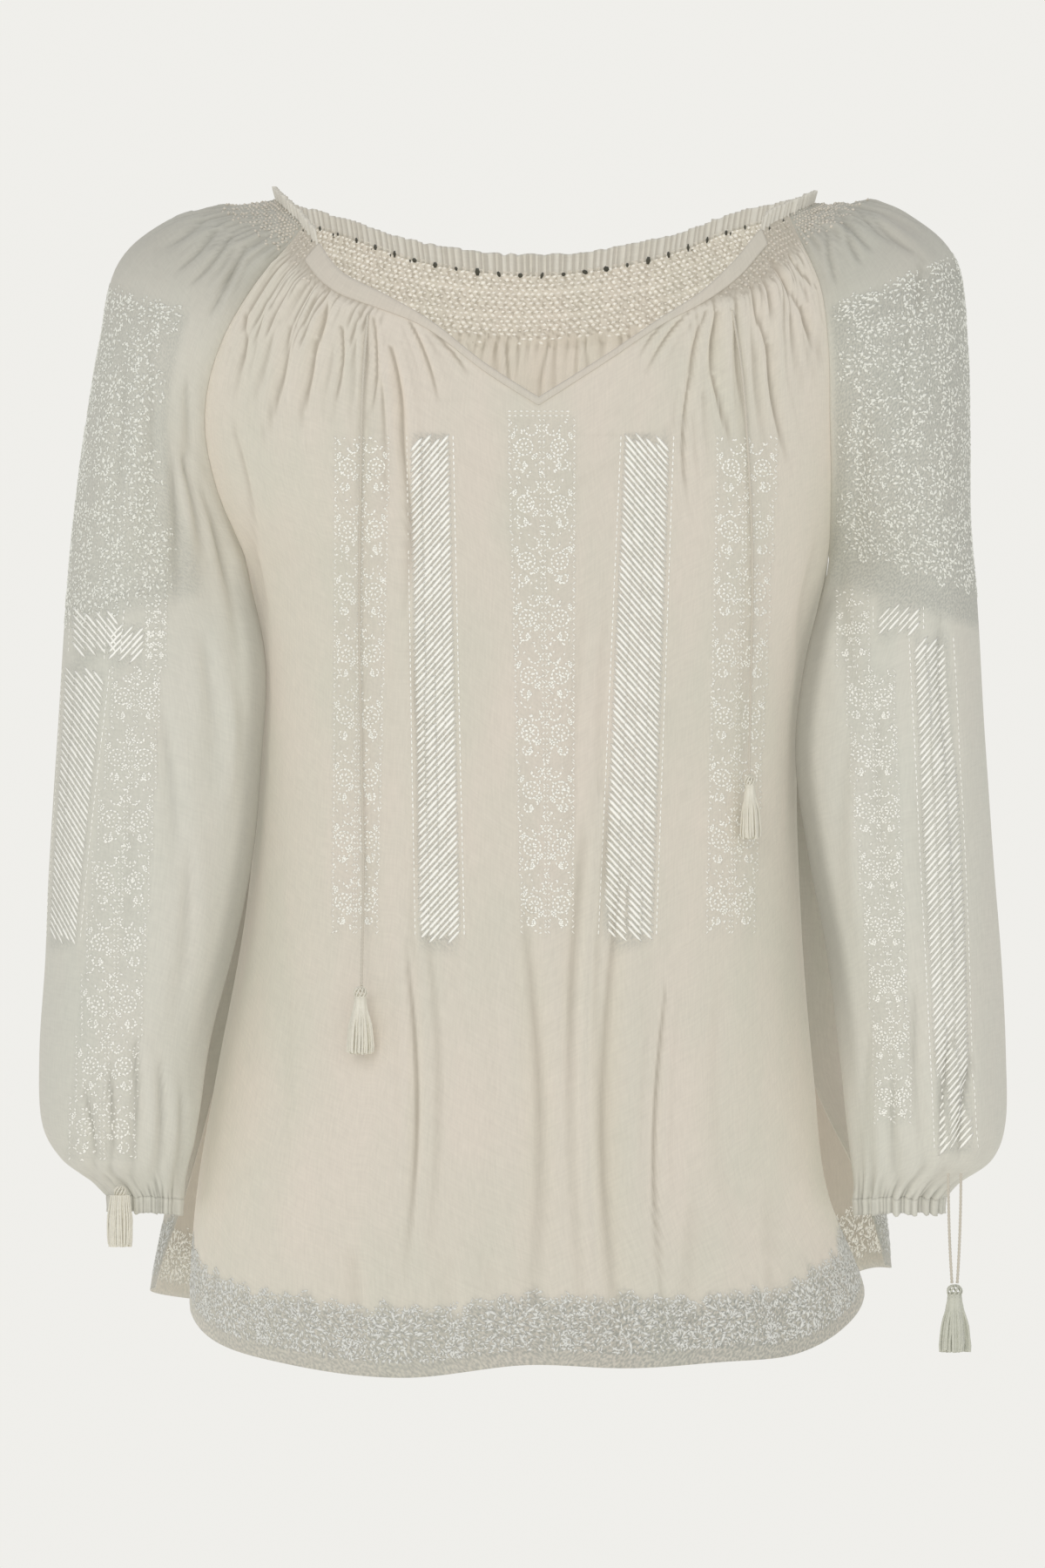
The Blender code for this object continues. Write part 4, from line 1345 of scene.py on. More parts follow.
@dataclass(frozen=True)
class ClothFinish:
    """Voile in two close shades, paler and cooler where it is embroidered, with shade painted into its colour
    and a painted glow from its emission.
    """

    name: str
    warm: Colour
    cool: Colour
    worked: Colour
    # The colour that painted shade mixes towards, and how far it goes at full shade.
    hollow: Colour = (0.300, 0.262, 0.205)
    shade: float = 0.6
    # Emission strength: a painted glow in place of light that passes through the thin voile.
    painted_glow: float = 0.12
    # How much the painted glow rises on faces turned away from the camera.
    turned_glow: float = 0.0
    roughness: float = 0.86
    sheen: float = 0.12
    relief: float = 0.00022

    def build(self) -> bpy.types.Material:
        """Make the material.

        Returns:
            The material.
        """
        material, graph, shader = blank_material(self.name)
        weave = graph.add("ShaderNodeGroup", node_tree=Trees.get("weave")).outputs
        shades = {"Warm": (*self.warm, 1), "Cool": (*self.cool, 1)}
        drift = graph.add("ShaderNodeGroup", shades, node_tree=Trees.get("drift"))
        worked = graph.add("ShaderNodeAttribute", attribute_name="worked").outputs["Fac"]
        hollow = graph.add("ShaderNodeAttribute", attribute_name="hollow").outputs["Fac"]
        place = graph.add("ShaderNodeUVMap", uv_map="cloth").outputs["UV"]
        # Specks of the embroidered ground's colour: needle holes, partly painted shade between the stitches.
        pricks = graph.noise(place, 620.0)
        pricked = graph.remap(pricks, (0.40, 0.60), (1.0, 0.35))
        shown = graph.math("MULTIPLY", worked, pricked)
        cloth = graph.blend(shown, drift.outputs["Color"], (*self.worked, 1))
        # Painted shade: the hollow attribute mixes the colour towards the hollow colour in folds, between
        # smocking puffs and in other places that get less light.
        shaded = graph.math("MULTIPLY", hollow, self.shade)
        cloth = graph.blend(shaded, cloth, (*self.hollow, 1))
        depth = graph.remap(weave["Tone"], (0.3, 0.7), (0.93, 1.03))
        toned = graph.blend(1.0, cloth, depth, "MULTIPLY")
        rough = graph.math("MULTIPLY_ADD", weave["Tone"], 0.12)
        rough.node.inputs[2].default_value = self.roughness - 0.06
        bump = graph.add(
            "ShaderNodeBump", {"Height": weave["Height"], "Distance": self.relief, "Strength": 0.7}
        )
        material.node_tree.links.new(toned, shader.inputs["Base Color"])
        material.node_tree.links.new(rough, shader.inputs["Roughness"])
        material.node_tree.links.new(bump.outputs[0], shader.inputs["Normal"])
        shader.inputs["Sheen Weight"].default_value = self.sheen
        shader.inputs["Sheen Roughness"].default_value = 0.6
        shader.inputs["Specular IOR Level"].default_value = 0.2
        # Painted glow: emission of the cloth's own colour, raised on faces turned away from the camera and cut
        # to 0.3 on outer faces.
        turned = graph.add("ShaderNodeLayerWeight", {"Blend": 0.5}).outputs["Facing"]
        lift = graph.math("MULTIPLY_ADD", turned, self.turned_glow)
        lift.node.inputs[2].default_value = 1.0
        outer = graph.add("ShaderNodeAttribute", attribute_name="outer").outputs["Fac"]
        kept = graph.math("MULTIPLY_ADD", outer, -0.7)
        kept.node.inputs[2].default_value = 1.0
        glow = graph.blend(1.0, toned, graph.math("MULTIPLY", lift, kept), "MULTIPLY")
        material.node_tree.links.new(glow, shader.inputs["Emission Color"])
        shader.inputs["Emission Strength"].default_value = self.painted_glow
        return material


@dataclass(frozen=True)
class ThreadFinish:
    """Soft cotton thread with a little satin shine."""

    name: str
    pale: Colour
    deep: Colour
    roughness: float = 0.5
    sheen: float = 0.2
    strands: float = 1800.0
    relief: float = 0.0001
    # Emission strength: a painted glow of the thread's own colour.
    painted_glow: float = 0.10

    def build(self) -> bpy.types.Material:
        """Make the material.

        Returns:
            The material.
        """
        material, graph, shader = blank_material(self.name)
        ply = graph.add("ShaderNodeGroup", {}, node_tree=Trees.get("ply"))
        ply.inputs["Strands"].default_value = self.strands
        own = graph.add("ShaderNodeAttribute", attribute_name="tone").outputs["Fac"]
        shared = graph.math("MULTIPLY", ply.outputs["Tone"], 0.6)
        mixed = graph.math("ADD", shared, graph.math("MULTIPLY", own, 0.4))
        colour = graph.blend(mixed, (*self.deep, 1), (*self.pale, 1))
        rough = graph.math("MULTIPLY_ADD", ply.outputs["Tone"], 0.2)
        rough.node.inputs[2].default_value = self.roughness - 0.1
        bump = graph.add(
            "ShaderNodeBump", {"Height": ply.outputs["Height"], "Distance": self.relief, "Strength": 0.6}
        )
        material.node_tree.links.new(colour, shader.inputs["Base Color"])
        material.node_tree.links.new(colour, shader.inputs["Emission Color"])
        shader.inputs["Emission Strength"].default_value = self.painted_glow
        material.node_tree.links.new(rough, shader.inputs["Roughness"])
        material.node_tree.links.new(bump.outputs[0], shader.inputs["Normal"])
        shader.inputs["Sheen Weight"].default_value = self.sheen
        shader.inputs["Specular IOR Level"].default_value = 0.35
        return material


class Finish(Enum):
    """The finishes of the blouse."""

    BODY = ClothFinish(
        "body_voile", (0.638, 0.584, 0.505), (0.592, 0.566, 0.482), (0.310, 0.315, 0.285), painted_glow=0.16,
        turned_glow=1.9,
    )
    # The body's voile painted a little paler, with a stronger painted glow, for the back's inner face, which
    # gets less light.
    BACK = ClothFinish(
        "back_voile", (0.650, 0.600, 0.525), (0.602, 0.580, 0.500), (0.420, 0.425, 0.375), painted_glow=0.40
    )
    SLEEVE = ClothFinish(
        "sleeve_voile", (0.640, 0.618, 0.545), (0.620, 0.614, 0.540), (0.400, 0.405, 0.365),
        (0.290, 0.280, 0.240),
    )
    TRIM = ClothFinish(
        "trim_voile", (0.700, 0.672, 0.600), (0.665, 0.645, 0.575), (0.665, 0.640, 0.560), shade=0.42,
        painted_glow=0.22,
    )
    BINDING = ClothFinish(
        "binding_voile", (0.625, 0.572, 0.492), (0.600, 0.565, 0.485), (0.600, 0.565, 0.485), painted_glow=0.10
    )
    SATIN = ThreadFinish("satin_thread", (0.960, 0.950, 0.890), (0.830, 0.820, 0.750), 0.46)
    SMOCK = ThreadFinish("smocking_thread", (0.700, 0.650, 0.565), (0.560, 0.515, 0.435), 0.6)
    # The smocking thread painted paler and with a stronger painted glow, for the inner face of the back, which
    # gets less light.
    SMOCK_INSIDE = ThreadFinish(
        "smocking_inside", (0.860, 0.835, 0.765), (0.690, 0.660, 0.595), 0.6, painted_glow=0.38
    )
    HEM_THREAD = ThreadFinish("hem_thread", (0.800, 0.800, 0.755), (0.590, 0.590, 0.555), 0.5)
    FIELD_THREAD = ThreadFinish("field_thread", (0.880, 0.880, 0.810), (0.680, 0.680, 0.620), 0.5)
    # Darker than the tassels' cotton: partly the cord's own tone, partly painted shade along the cord.
    CORD = ThreadFinish("cord_cotton", (0.680, 0.632, 0.540), (0.540, 0.500, 0.420), 0.65, painted_glow=0.04)
    TASSEL = ThreadFinish("tassel_cotton", (0.770, 0.745, 0.650), (0.690, 0.660, 0.565), 0.65, strands=1400.0)
    TASSEL_COOL = ThreadFinish(
        "tassel_cool", (0.610, 0.615, 0.530), (0.530, 0.530, 0.450), 0.65, strands=1400.0
    )
    # Near black, with no glow: painted shadow for the mouths of the drawstring channel.
    CHANNEL = ThreadFinish(
        "channel_shadow", (0.120, 0.118, 0.090), (0.060, 0.058, 0.045), 0.9, painted_glow=0.0
    )

    def material(self) -> bpy.types.Material:
        """The finish's material, made at its first use."""
        found = bpy.data.materials.get(self.value.name)
        return found or self.value.build()


def set_inputs(modifier: bpy.types.Modifier, values: dict[str, Any]) -> None:
    """Set a node modifier's inputs by the names of its tree's sockets.

    Args:
        modifier: A nodes modifier.
        values: Its inputs by name.
    """
    for item in modifier.node_group.interface.items_tree:
        if item.item_type == "SOCKET" and item.in_out == "INPUT" and item.name in values:
            modifier[item.identifier] = values[item.name]


def laid_stitch_tree() -> bpy.types.NodeTree:
    """Lay one rounded stitch on each point, along its own direction.

    Returns:
        The node tree.
    """
    graph = Graph(bpy.data.node_groups.new("laid_stitches", "GeometryNodeTree"))
    for name, kind, value in (
        ("Geometry", "Geometry", None), ("Loft", "Float", 0.6), ("Unevenness", "Float", 0.12),
        ("Seed", "Int", 3), ("Rings", "Int", 2), ("Thread", "Material", None),
    ):
        graph.socket(name, f"NodeSocket{kind}", "INPUT", value)
    graph.socket("Geometry", "NodeSocketGeometry", "OUTPUT")
    given = graph.add("NodeGroupInput").outputs

    def attribute(name: str, kind: str) -> bpy.types.NodeSocket:
        """Read a named value from the points."""
        return graph.add("GeometryNodeInputNamedAttribute", {"Name": name}, data_type=kind).outputs[0]

    lay = graph.add(
        "FunctionNodeAlignRotationToVector", {"Vector": attribute("lay", "FLOAT_VECTOR")}, axis="X"
    ).outputs[0]
    turned = graph.add(
        "FunctionNodeAlignRotationToVector", {"Rotation": lay, "Vector": attribute("up", "FLOAT_VECTOR")},
        axis="Z", pivot_axis="X",
    ).outputs[0]
    low = graph.math("SUBTRACT", 1.0, given["Unevenness"])
    high = graph.math("ADD", 1.0, given["Unevenness"])
    uneven = graph.add("FunctionNodeRandomValue", {2: low, 3: high, "Seed": given["Seed"]}, data_type="FLOAT")
    girth = graph.math("MULTIPLY", attribute("girth", "FLOAT"), uneven.outputs[1])
    tall = graph.math("MULTIPLY", girth, given["Loft"])
    span = attribute("span", "FLOAT")
    size = graph.add("ShaderNodeCombineXYZ", {"X": span, "Y": girth, "Z": tall}).outputs[0]
    round_form = {"Segments": 4, "Rings": given["Rings"], "Radius": 0.5}
    form = graph.add("GeometryNodeMeshUVSphere", round_form).outputs[0]
    quarter_turn = (0.0, math.pi / 2, 0.0)
    along = graph.add("GeometryNodeTransform", {"Geometry": form, "Rotation": quarter_turn}).outputs[0]
    smooth = graph.add("GeometryNodeSetShadeSmooth", {"Geometry": along}).outputs[0]
    laid = graph.add(
        "GeometryNodeInstanceOnPoints",
        {"Points": given["Geometry"], "Instance": smooth, "Rotation": turned, "Scale": size},
    ).outputs[0]
    tone = graph.add("FunctionNodeRandomValue", {2: 0.0, 3: 1.0, "Seed": given["Seed"]}, data_type="FLOAT")
    toned = graph.add(
        "GeometryNodeStoreNamedAttribute", {"Geometry": laid, "Name": "tone", "Value": tone.outputs[1]},
        data_type="FLOAT", domain="INSTANCE",
    ).outputs[0]
    real = graph.add("GeometryNodeRealizeInstances", {"Geometry": toned}).outputs[0]
    dressed = graph.add("GeometryNodeSetMaterial", {"Geometry": real, "Material": given["Thread"]}).outputs[0]
    graph.add("NodeGroupOutput", {"Geometry": dressed})
    return graph.tree


def strand_tree() -> bpy.types.NodeTree:
    """Turn every line of the mesh into a twisted strand.

    Returns:
        The node tree.
    """
    graph = Graph(bpy.data.node_groups.new("twisted_strands", "GeometryNodeTree"))
    for name, kind, value in (
        ("Geometry", "Geometry", None), ("Radius", "Float", 0.0009), ("Flatness", "Float", 0.7),
        ("Turn Length", "Float", 0.004), ("Step", "Float", 0.0008), ("Sides", "Int", 8),
        ("Thread", "Material", None),
    ):
        graph.socket(name, f"NodeSocket{kind}", "INPUT", value)
    graph.socket("Geometry", "NodeSocketGeometry", "OUTPUT")
    given = graph.add("NodeGroupInput").outputs
    line = graph.add("GeometryNodeMeshToCurve", {"Mesh": given["Geometry"]}).outputs[0]
    fine = graph.add("GeometryNodeResampleCurve", {"Curve": line, 3: given["Step"]}, mode="LENGTH")
    run = graph.add("GeometryNodeSplineParameter").outputs["Length"]
    turn = graph.math("MULTIPLY", graph.math("DIVIDE", run, given["Turn Length"]), 2 * math.pi)
    tilted = graph.add("GeometryNodeSetCurveTilt", {"Curve": fine.outputs[0], "Tilt": turn}).outputs[0]
    circle = {"Resolution": given["Sides"], "Radius": given["Radius"]}
    ring = graph.add("GeometryNodeCurvePrimitiveCircle", circle, mode="RADIUS").outputs[0]
    flat = graph.add("ShaderNodeCombineXYZ", {"X": 1.0, "Y": given["Flatness"], "Z": 1.0}).outputs[0]
    section = graph.add("GeometryNodeTransform", {"Geometry": ring, "Scale": flat}).outputs[0]
    tube = graph.add(
        "GeometryNodeCurveToMesh", {"Curve": tilted, "Profile Curve": section, "Fill Caps": True}
    ).outputs[0]
    smooth = graph.add("GeometryNodeSetShadeSmooth", {"Geometry": tube}).outputs[0]
    real = graph.add("GeometryNodeRealizeInstances", {"Geometry": smooth}).outputs[0]
    dressed = graph.add("GeometryNodeSetMaterial", {"Geometry": real, "Material": given["Thread"]}).outputs[0]
    graph.add("NodeGroupOutput", {"Geometry": dressed})
    return graph.tree


class Trees:
    """The shader groups and geometry trees, each built once."""

    made: dict[str, bpy.types.NodeTree] = {}

    @classmethod
    def get(cls, name: str) -> bpy.types.NodeTree:
        """The tree of that name, built at its first use.

        Args:
            name: The tree's name.

        Returns:
            The tree.
        """
        makers = {
            "weave": weave_group, "drift": drift_group, "ply": ply_group, "stitches": laid_stitch_tree,
            "strands": strand_tree,
        }
        if name not in cls.made:
            cls.made[name] = makers[name]()
        return cls.made[name]


def plain_object(name: str, mesh: bpy.types.Mesh) -> bpy.types.Object:
    """A mesh object at the origin, linked to the scene.

    Args:
        name: The object's name.
        mesh: Its mesh.

    Returns:
        The object.
    """
    made = bpy.data.objects.new(name, mesh)
    bpy.context.scene.collection.objects.link(made)
    return made


def settle(piece: bpy.types.Object) -> bpy.types.Object:
    """Turn a piece's node result into a plain mesh and drop the modifier.

    Args:
        piece: The object with its modifiers.

    Returns:
        The same object with a plain mesh.
    """
    bpy.context.view_layer.update()
    graph = bpy.context.evaluated_depsgraph_get()
    mesh = bpy.data.meshes.new_from_object(piece.evaluated_get(graph), depsgraph=graph)
    piece.modifiers.clear()
    old = piece.data
    piece.data = mesh
    mesh.name = piece.name
    bpy.data.meshes.remove(old)
    return piece


def point_values(mesh: bpy.types.Mesh, name: str, values: np.ndarray) -> None:
    """Keep a number or a vector for each point of a mesh.

    Args:
        mesh: The mesh.
        name: The attribute's name.
        values: One row for each point.
    """
    vectors = values.ndim == 2
    made = mesh.attributes.new(name, "FLOAT_VECTOR" if vectors else "FLOAT", "POINT")
    made.data.foreach_set("vector" if vectors else "value", values.astype(np.float32).ravel())


def work_stitches(
    name: str, mesh: bpy.types.Mesh, columns: dict[str, np.ndarray], inputs: dict[str, Any]
) -> bpy.types.Object:
    """Raise a stitch at each point of a mesh.

    Args:
        name: The piece's name.
        mesh: The stitches' centres.
        columns: What each point carries: its lay, up, span and girth.
        inputs: The stitch tree's inputs.

    Returns:
        The piece.
    """
    for key, values in columns.items():
        point_values(mesh, key, values)
    piece = plain_object(name, mesh)
    modifier = piece.modifiers.new("stitches", "NODES")
    modifier.node_group = Trees.get("stitches")
    set_inputs(modifier, inputs)
    settle(piece)
    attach(piece, BODY)
    return piece


def lay_stitches(
    name: str, surface: Surface, work: Stitches, finish: Finish, back: bool = False,
    loft: float = 0.6, out: float = 0.45, mapped: bool = True, rings: int = 2,
) -> bpy.types.Object:
    """Lay stitches on a surface as one piece.

    Args:
        name: The piece's name.
        surface: The cloth to sew on.
        work: The stitches.
        finish: The thread.
        back: On a sleeve, whether the work goes round the hidden half.
        loft: Height of a stitch as a share of its width.
        out: How far the stitches stand off the middle of the cloth.
        mapped: Whether the stitches are given as x and drop, or as surface coordinates.
        rings: How many bands of faces a stitch has; more give rounder ends.

    Returns:
        The piece.
    """
    ends = work.ends
    if mapped:
        u0, v0 = surface.place(ends[:, 0], ends[:, 1])
        u1, v1 = surface.place(ends[:, 2], ends[:, 3])
    else:
        u0, v0, u1, v1 = ends.T
    if back:
        u0, u1 = 1 - u0, 1 - u1
    first = surface.points(u0, v0, out)
    second = surface.points(u1, v1, out)
    reach = np.linalg.norm(second - first, axis=1)
    asked = np.linalg.norm(ends[:, 2:] - ends[:, :2], axis=1) if mapped else reach
    good = (reach > 0.4) & (reach < 3.0 * asked + 1.0)
    middle = 0.5 * (u0 + u1)[good], 0.5 * (v0 + v1)[good]
    centres = surface.points(*middle, out)
    ups = surface.normals(*middle)
    lays = (second - first)[good]
    mesh = bpy.data.meshes.new(name)
    mesh.from_pydata([tuple(p) for p in centres * MM], [], [])
    columns = {
        "lay": unit(lays), "up": ups, "span": (reach[good] + 0.5) * MM, "girth": work.widths[good] * MM,
    }
    piece = work_stitches(name, mesh, columns, {
        "Loft": loft, "Unevenness": 0.14, "Seed": len(name), "Rings": rings, "Thread": finish.material(),
    })
    LOG.info("%s: %d stitches", name, int(good.sum()))
    return piece


def lay_strands(
    name: str, paths: Sequence[np.ndarray], radius: float, finish: Finish, flatness: float = 0.7,
    turn: float = 4.0, step: float = 0.8, sides: int = 8,
) -> bpy.types.Object:
    """Make strands along paths as one piece, all sizes in millimetres.

    Args:
        name: The piece's name.
        paths: The centrelines.
        radius: Radius of a strand.
        finish: The thread.
        flatness: Ratio of a strand's two diameters.
        turn: Length of one full twist.
        step: Distance between rings of points.
        sides: Number of sides of a strand.

    Returns:
        The piece.
    """
    mesh = bpy.data.meshes.new(name)
    points: list[tuple] = []
    edges: list[tuple] = []
    for path in paths:
        first = len(points)
        points.extend(tuple(p) for p in path * MM)
        edges.extend((first + i, first + i + 1) for i in range(len(path) - 1))
    mesh.from_pydata(points, edges, [])
    piece = plain_object(name, mesh)
    modifier = piece.modifiers.new("strands", "NODES")
    modifier.node_group = Trees.get("strands")
    set_inputs(modifier, {
        "Radius": radius * MM, "Flatness": flatness, "Turn Length": turn * MM, "Step": step * MM,
        "Sides": sides, "Thread": finish.material(),
    })
    return settle(piece)


def cloth_piece(
    name: str, grid: np.ndarray, finish: Finish, outward: np.ndarray, worked: Optional[np.ndarray] = None,
    wall: float = 0.7, round_tube: bool = False, inside: Any = 0.0, painted_shade: Any = 0.0, gain: float = 1.6,
) -> bpy.types.Object:
    """Skin rows of points as a thin wall of cloth with a UV map in metres.

    Args:
        name: The piece's name.
        grid: Points in millimetres, by row and column.
        finish: The cloth.
        outward: A direction away from the hollow for each point.
        worked: How densely each point is embroidered, 0 to 1.
        wall: Thickness of the wall in millimetres.
        round_tube: Whether the first and last columns are the same line.
        inside: Share of the shade in the folds that belongs to the inner face.
        painted_shade: Shade painted into the colour of each point: between the puffs of smocking, over the
            shoulders, under the arms and elsewhere where less light falls.
        gain: How quickly tight bends fill with shade.

    Returns:
        The piece.
    """
    rows, columns = grid.shape[:2]
    used = columns - 1 if round_tube else columns
    run_u = np.cumsum(np.linalg.norm(np.diff(grid, axis=1), axis=2), axis=1)
    run_v = np.cumsum(np.linalg.norm(np.diff(grid, axis=0), axis=2), axis=0)
    flow_u = np.concatenate([np.zeros((rows, 1)), run_u], axis=1)
    flow_v = np.concatenate([np.zeros((1, columns)), run_v], axis=0)
    flow_u = np.broadcast_to(flow_u[rows // 2], (rows, columns))
    index = np.arange(rows * used).reshape(rows, used)
    if round_tube:
        index = np.concatenate([index, index[:, :1]], axis=1)
    corners = [index[:-1, :-1], index[1:, :-1], index[1:, 1:], index[:-1, 1:]]
    uvs = [(flow_u[:-1, :-1], flow_v[:-1, :-1]), (flow_u[1:, :-1], flow_v[1:, :-1]),
           (flow_u[1:, 1:], flow_v[1:, 1:]), (flow_u[:-1, 1:], flow_v[:-1, 1:])]
    side = grid[:-1, 1:] - grid[:-1, :-1]
    down = grid[1:, :-1] - grid[:-1, :-1]
    facing = np.sum(np.cross(down, side) * outward[:-1, :-1])
    order = [0, 1, 2, 3] if facing > 0 else [0, 3, 2, 1]
    faces = np.stack([corners[k].ravel() for k in order], axis=-1)
    coordinates = np.stack([np.stack([uvs[k][0].ravel(), uvs[k][1].ravel()], axis=-1) for k in order], axis=1)
    mesh = bpy.data.meshes.new(name)
    mesh.from_pydata([tuple(p) for p in grid[:, :used].reshape(-1, 3) * MM], [], faces.tolist())
    layer = mesh.uv_layers.new(name="cloth")
    layer.data.foreach_set("uv", (coordinates * MM).astype(np.float32).ravel())
    # Painted shade: darker colour in the valleys of the cloth and wherever the extra shade mask asks for it.
    shade = np.clip(valleys(grid, outward, gain, inside) + 0.75 * np.asarray(painted_shade), 0, 1)
    for key, values in (("worked", worked), ("hollow", shade)):
        if values is not None:
            point_values(mesh, key, values[:, :used].ravel())
    mesh.shade_smooth()
    mesh.materials.append(finish.material())
    piece = plain_object(name, mesh)
    solidify = piece.modifiers.new("wall", "SOLIDIFY")
    solidify.thickness = wall * MM
    solidify.offset = 0.0
    return settle(piece)


def valleys(grid: np.ndarray, outward: np.ndarray, gain: float = 1.6, inside: Any = 0.0) -> np.ndarray:
    """How deep in a valley of the cloth each point lies, for the shade painted into the colour there.

    Args:
        grid: Points in millimetres, by row and column.
        outward: A direction away from the hollow for each point.
        gain: How quickly tight bends fill with shade.
        inside: Share of the shade that belongs to the inner face.

    Returns:
        Values from 0 to 1.
    """
    bend = np.zeros(grid.shape[:2])
    for axis in (0, 1):
        body = np.moveaxis(grid, axis, 0)
        faced = np.moveaxis(unit(outward), axis, 0)
        step = 0.5 * np.linalg.norm(body[2:] - body[:-2], axis=-1)
        turn = np.sum((body[2:] - 2 * body[1:-1] + body[:-2]) * faced[1:-1], axis=-1)
        part = np.zeros(body.shape[:2])
        part[1:-1] = turn / np.maximum(step, 0.4) ** 2
        bend = bend + np.moveaxis(part, 0, axis)
    sign = 1 - 2 * np.asarray(inside, dtype=float)
    return np.clip(gain * bend * sign, 0, 1)


def box_mask(x: np.ndarray, drop: np.ndarray, columns: Sequence[ColumnRow]) -> np.ndarray:
    """How far places lie inside embroidered columns, with soft edges.

    Args:
        x: Places to the right, in millimetres.
        drop: Places downward, in millimetres.
        columns: The embroidered columns.

    Returns:
        Values from 0 to 1.
    """
    mask = np.zeros(np.broadcast(x, drop).shape)
    for column in columns:
        left, right = column_edges(column, drop)
        inside = np.clip((x - left + 2) / 3, 0, 1) * np.clip((right + 2 - x) / 3, 0, 1)
        inside = inside * ease(drop, column.top - 3, column.top)
        inside = inside * (1 - ease(drop, column.bottom, column.bottom + 3))
        mask = np.maximum(mask, inside)
    return mask


@dataclass
class HemBand:
    """The embroidered band above a hem: star flowers, curls and close filling stitches."""

    surface: PanelSurface
    seed: int
    plain: float = 8.5
    height: float = 40.0
    motif: float = 27.0
    reach: float = 236.0

    def at(self, along: Any, up: Any) -> np.ndarray:
        """Surface coordinates of a place along the hem and up from its edge.

        Args:
            along: Places along the band, in millimetres.
            up: Heights above the hem, in millimetres.

        Returns:
            Places across and drops.
        """
        across = np.clip(np.asarray(along, dtype=float) / self.reach, -0.985, 0.985)
        hem, = smooth_columns(self.surface.hem, across)
        return np.stack([across, hem - np.asarray(up, dtype=float)], axis=-1)

    def top(self, along: np.ndarray) -> np.ndarray:
        """The ragged upper edge of the band."""
        fine = 1.7 * np.sin(along / 2.3) + 1.3 * np.sin(along / 3.7 + 1.0)
        return self.height + fine + 1.5 * np.sin(along / 8.9 + 2.0) + 1.2 * np.sin(along / 21.0)

    def stitch(self) -> Stitches:
        """Work the band.

        Returns:
            Stitches in the surface's own coordinates.
        """
        needle, bold = Needle(self.seed, 1.25), Needle(self.seed + 7, 1.9)
        parts = []
        low, high = self.plain, self.height
        middle = 0.5 * (low + high)
        for index, along in enumerate(np.arange(-self.reach + 12, self.reach - 6, self.motif)):
            if index % 2 == 0:
                parts.append(bold.petals(along, middle, 2.4, 6.8, 8))
                parts.append(bold.petals(along, middle, 7.4, 14.2, 14))
                parts.append(needle.petals(along, middle, 12.8, 15.6, 24))
            else:
                for side in (-1, 1):
                    parts.append(bold.scroll(along, middle + side * 7.5, 5.2, side * 1.2, side * 4.6, 0.45))
                    parts.append(needle.leaf(along - 3, middle + side * 12, side * 0.6, 6.0))
                    parts.append(needle.leaf(along + 4, middle + side * 4, side * 1.0, 5.0))
                parts.append(needle.petals(along, middle, 0.8, 3.4, 6))
                parts.append(needle.petals(along, middle - 9, 1.0, 5.6, 9))
        count = int(self.reach * 2 * (high - low) / 4.2)
        spots = needle.draw.uniform(-self.reach + 3, self.reach - 3, count)
        ups = low + (self.top(spots) - low) * needle.draw.uniform(0, 1, count)
        parts.append(needle.seeds(spots, ups, 3.0))
        work = joined(parts)
        start = self.at(work.ends[:, 0], work.ends[:, 1])
        end = self.at(work.ends[:, 2], work.ends[:, 3])
        return Stitches(np.concatenate([start, end], axis=-1), work.widths)

    def mask(self, across: np.ndarray, drop: np.ndarray) -> np.ndarray:
        """How far places lie inside the band.

        Args:
            across: Places across the panel, from -1 to 1.
            drop: Places downward, in millimetres.

        Returns:
            Values from 0 to 1.
        """
        hem, = smooth_columns(self.surface.hem, across)
        up = hem - drop
        ground = 0.85 + 0.15 * ease(up, self.plain - 3, self.plain)
        # Painted shade: the embroidered ground darkens towards the right, the side that gets less light.
        ground = ground * (0.78 + 0.22 * ease(across, -0.3, 0.5))
        return ground * (1 - ease(up, self.top(across * self.reach) - 7, self.top(across * self.reach) + 3))


def front_surface() -> PanelSurface:
    """The front of the body.

    Returns:
        The surface.
    """
    gathers = (
        Gathers(-150, -52, 3.6, 1.5, 46, 21), Gathers(-150, -58, 8.0, 2.4, 98, 22),
        Gathers(62, 150, 3.6, 1.5, 46, 23), Gathers(66, 150, 8.0, 2.4, 98, 24),
        Gathers(-140, 150, 26.0, 1.5, 190, 25),
    )
    return PanelSurface(
        FRONT_ROWS, front_neck_drop, FRONT_HEM, FRONT_FOLDS, FRONT_CREASES, FRONT_SMOCKING_FOOT, gathers,
        (-0.5, -0.36, 0.38, 0.52), BINDING,
    )


def back_surface() -> PanelSurface:
    """The back of the body.

    Returns:
        The surface.
    """
    gathers = (
        Gathers(-150, 150, 4.0, 1.3, 40, 31), Gathers(-150, 150, 9.5, 2.2, 90, 32),
        Gathers(-150, 150, 24.0, 1.6, 210, 33),
    )
    return PanelSurface(
        BACK_ROWS, back_neck_drop, BACK_HEM, BACK_FOLDS, BACK_CREASES, BACK_SMOCKING_FOOT, gathers,
        (5.0, 5.1, 5.2, 5.3), smocking_height=0.95,
    )


def sleeve_surface(side: int) -> SleeveSurface:
    """The left (-1) or right (1) sleeve.

    Args:
        side: -1 for the left sleeve, 1 for the right.

    Returns:
        The surface.
    """
    gathers = (Gathers(-65, 65, 4.0, 1.5, 44, 41 + side), Gathers(-65, 65, 9.0, 2.5, 84, 44 + side))
    cuffs = (Gathers(0, 330, 5.2, 1.5, 30, 51 + side), Gathers(0, 330, 12.0, 2.0, 64, 54 + side))
    if side < 0:
        return SleeveSurface(LEFT_OUTER, LEFT_SEAMS, LEFT_INNER, LEFT_SLEEVE_CREASES, side, gathers, cuffs)
    return SleeveSurface(RIGHT_OUTER, RIGHT_SEAMS, RIGHT_INNER, RIGHT_SLEEVE_CREASES, side, gathers, cuffs)


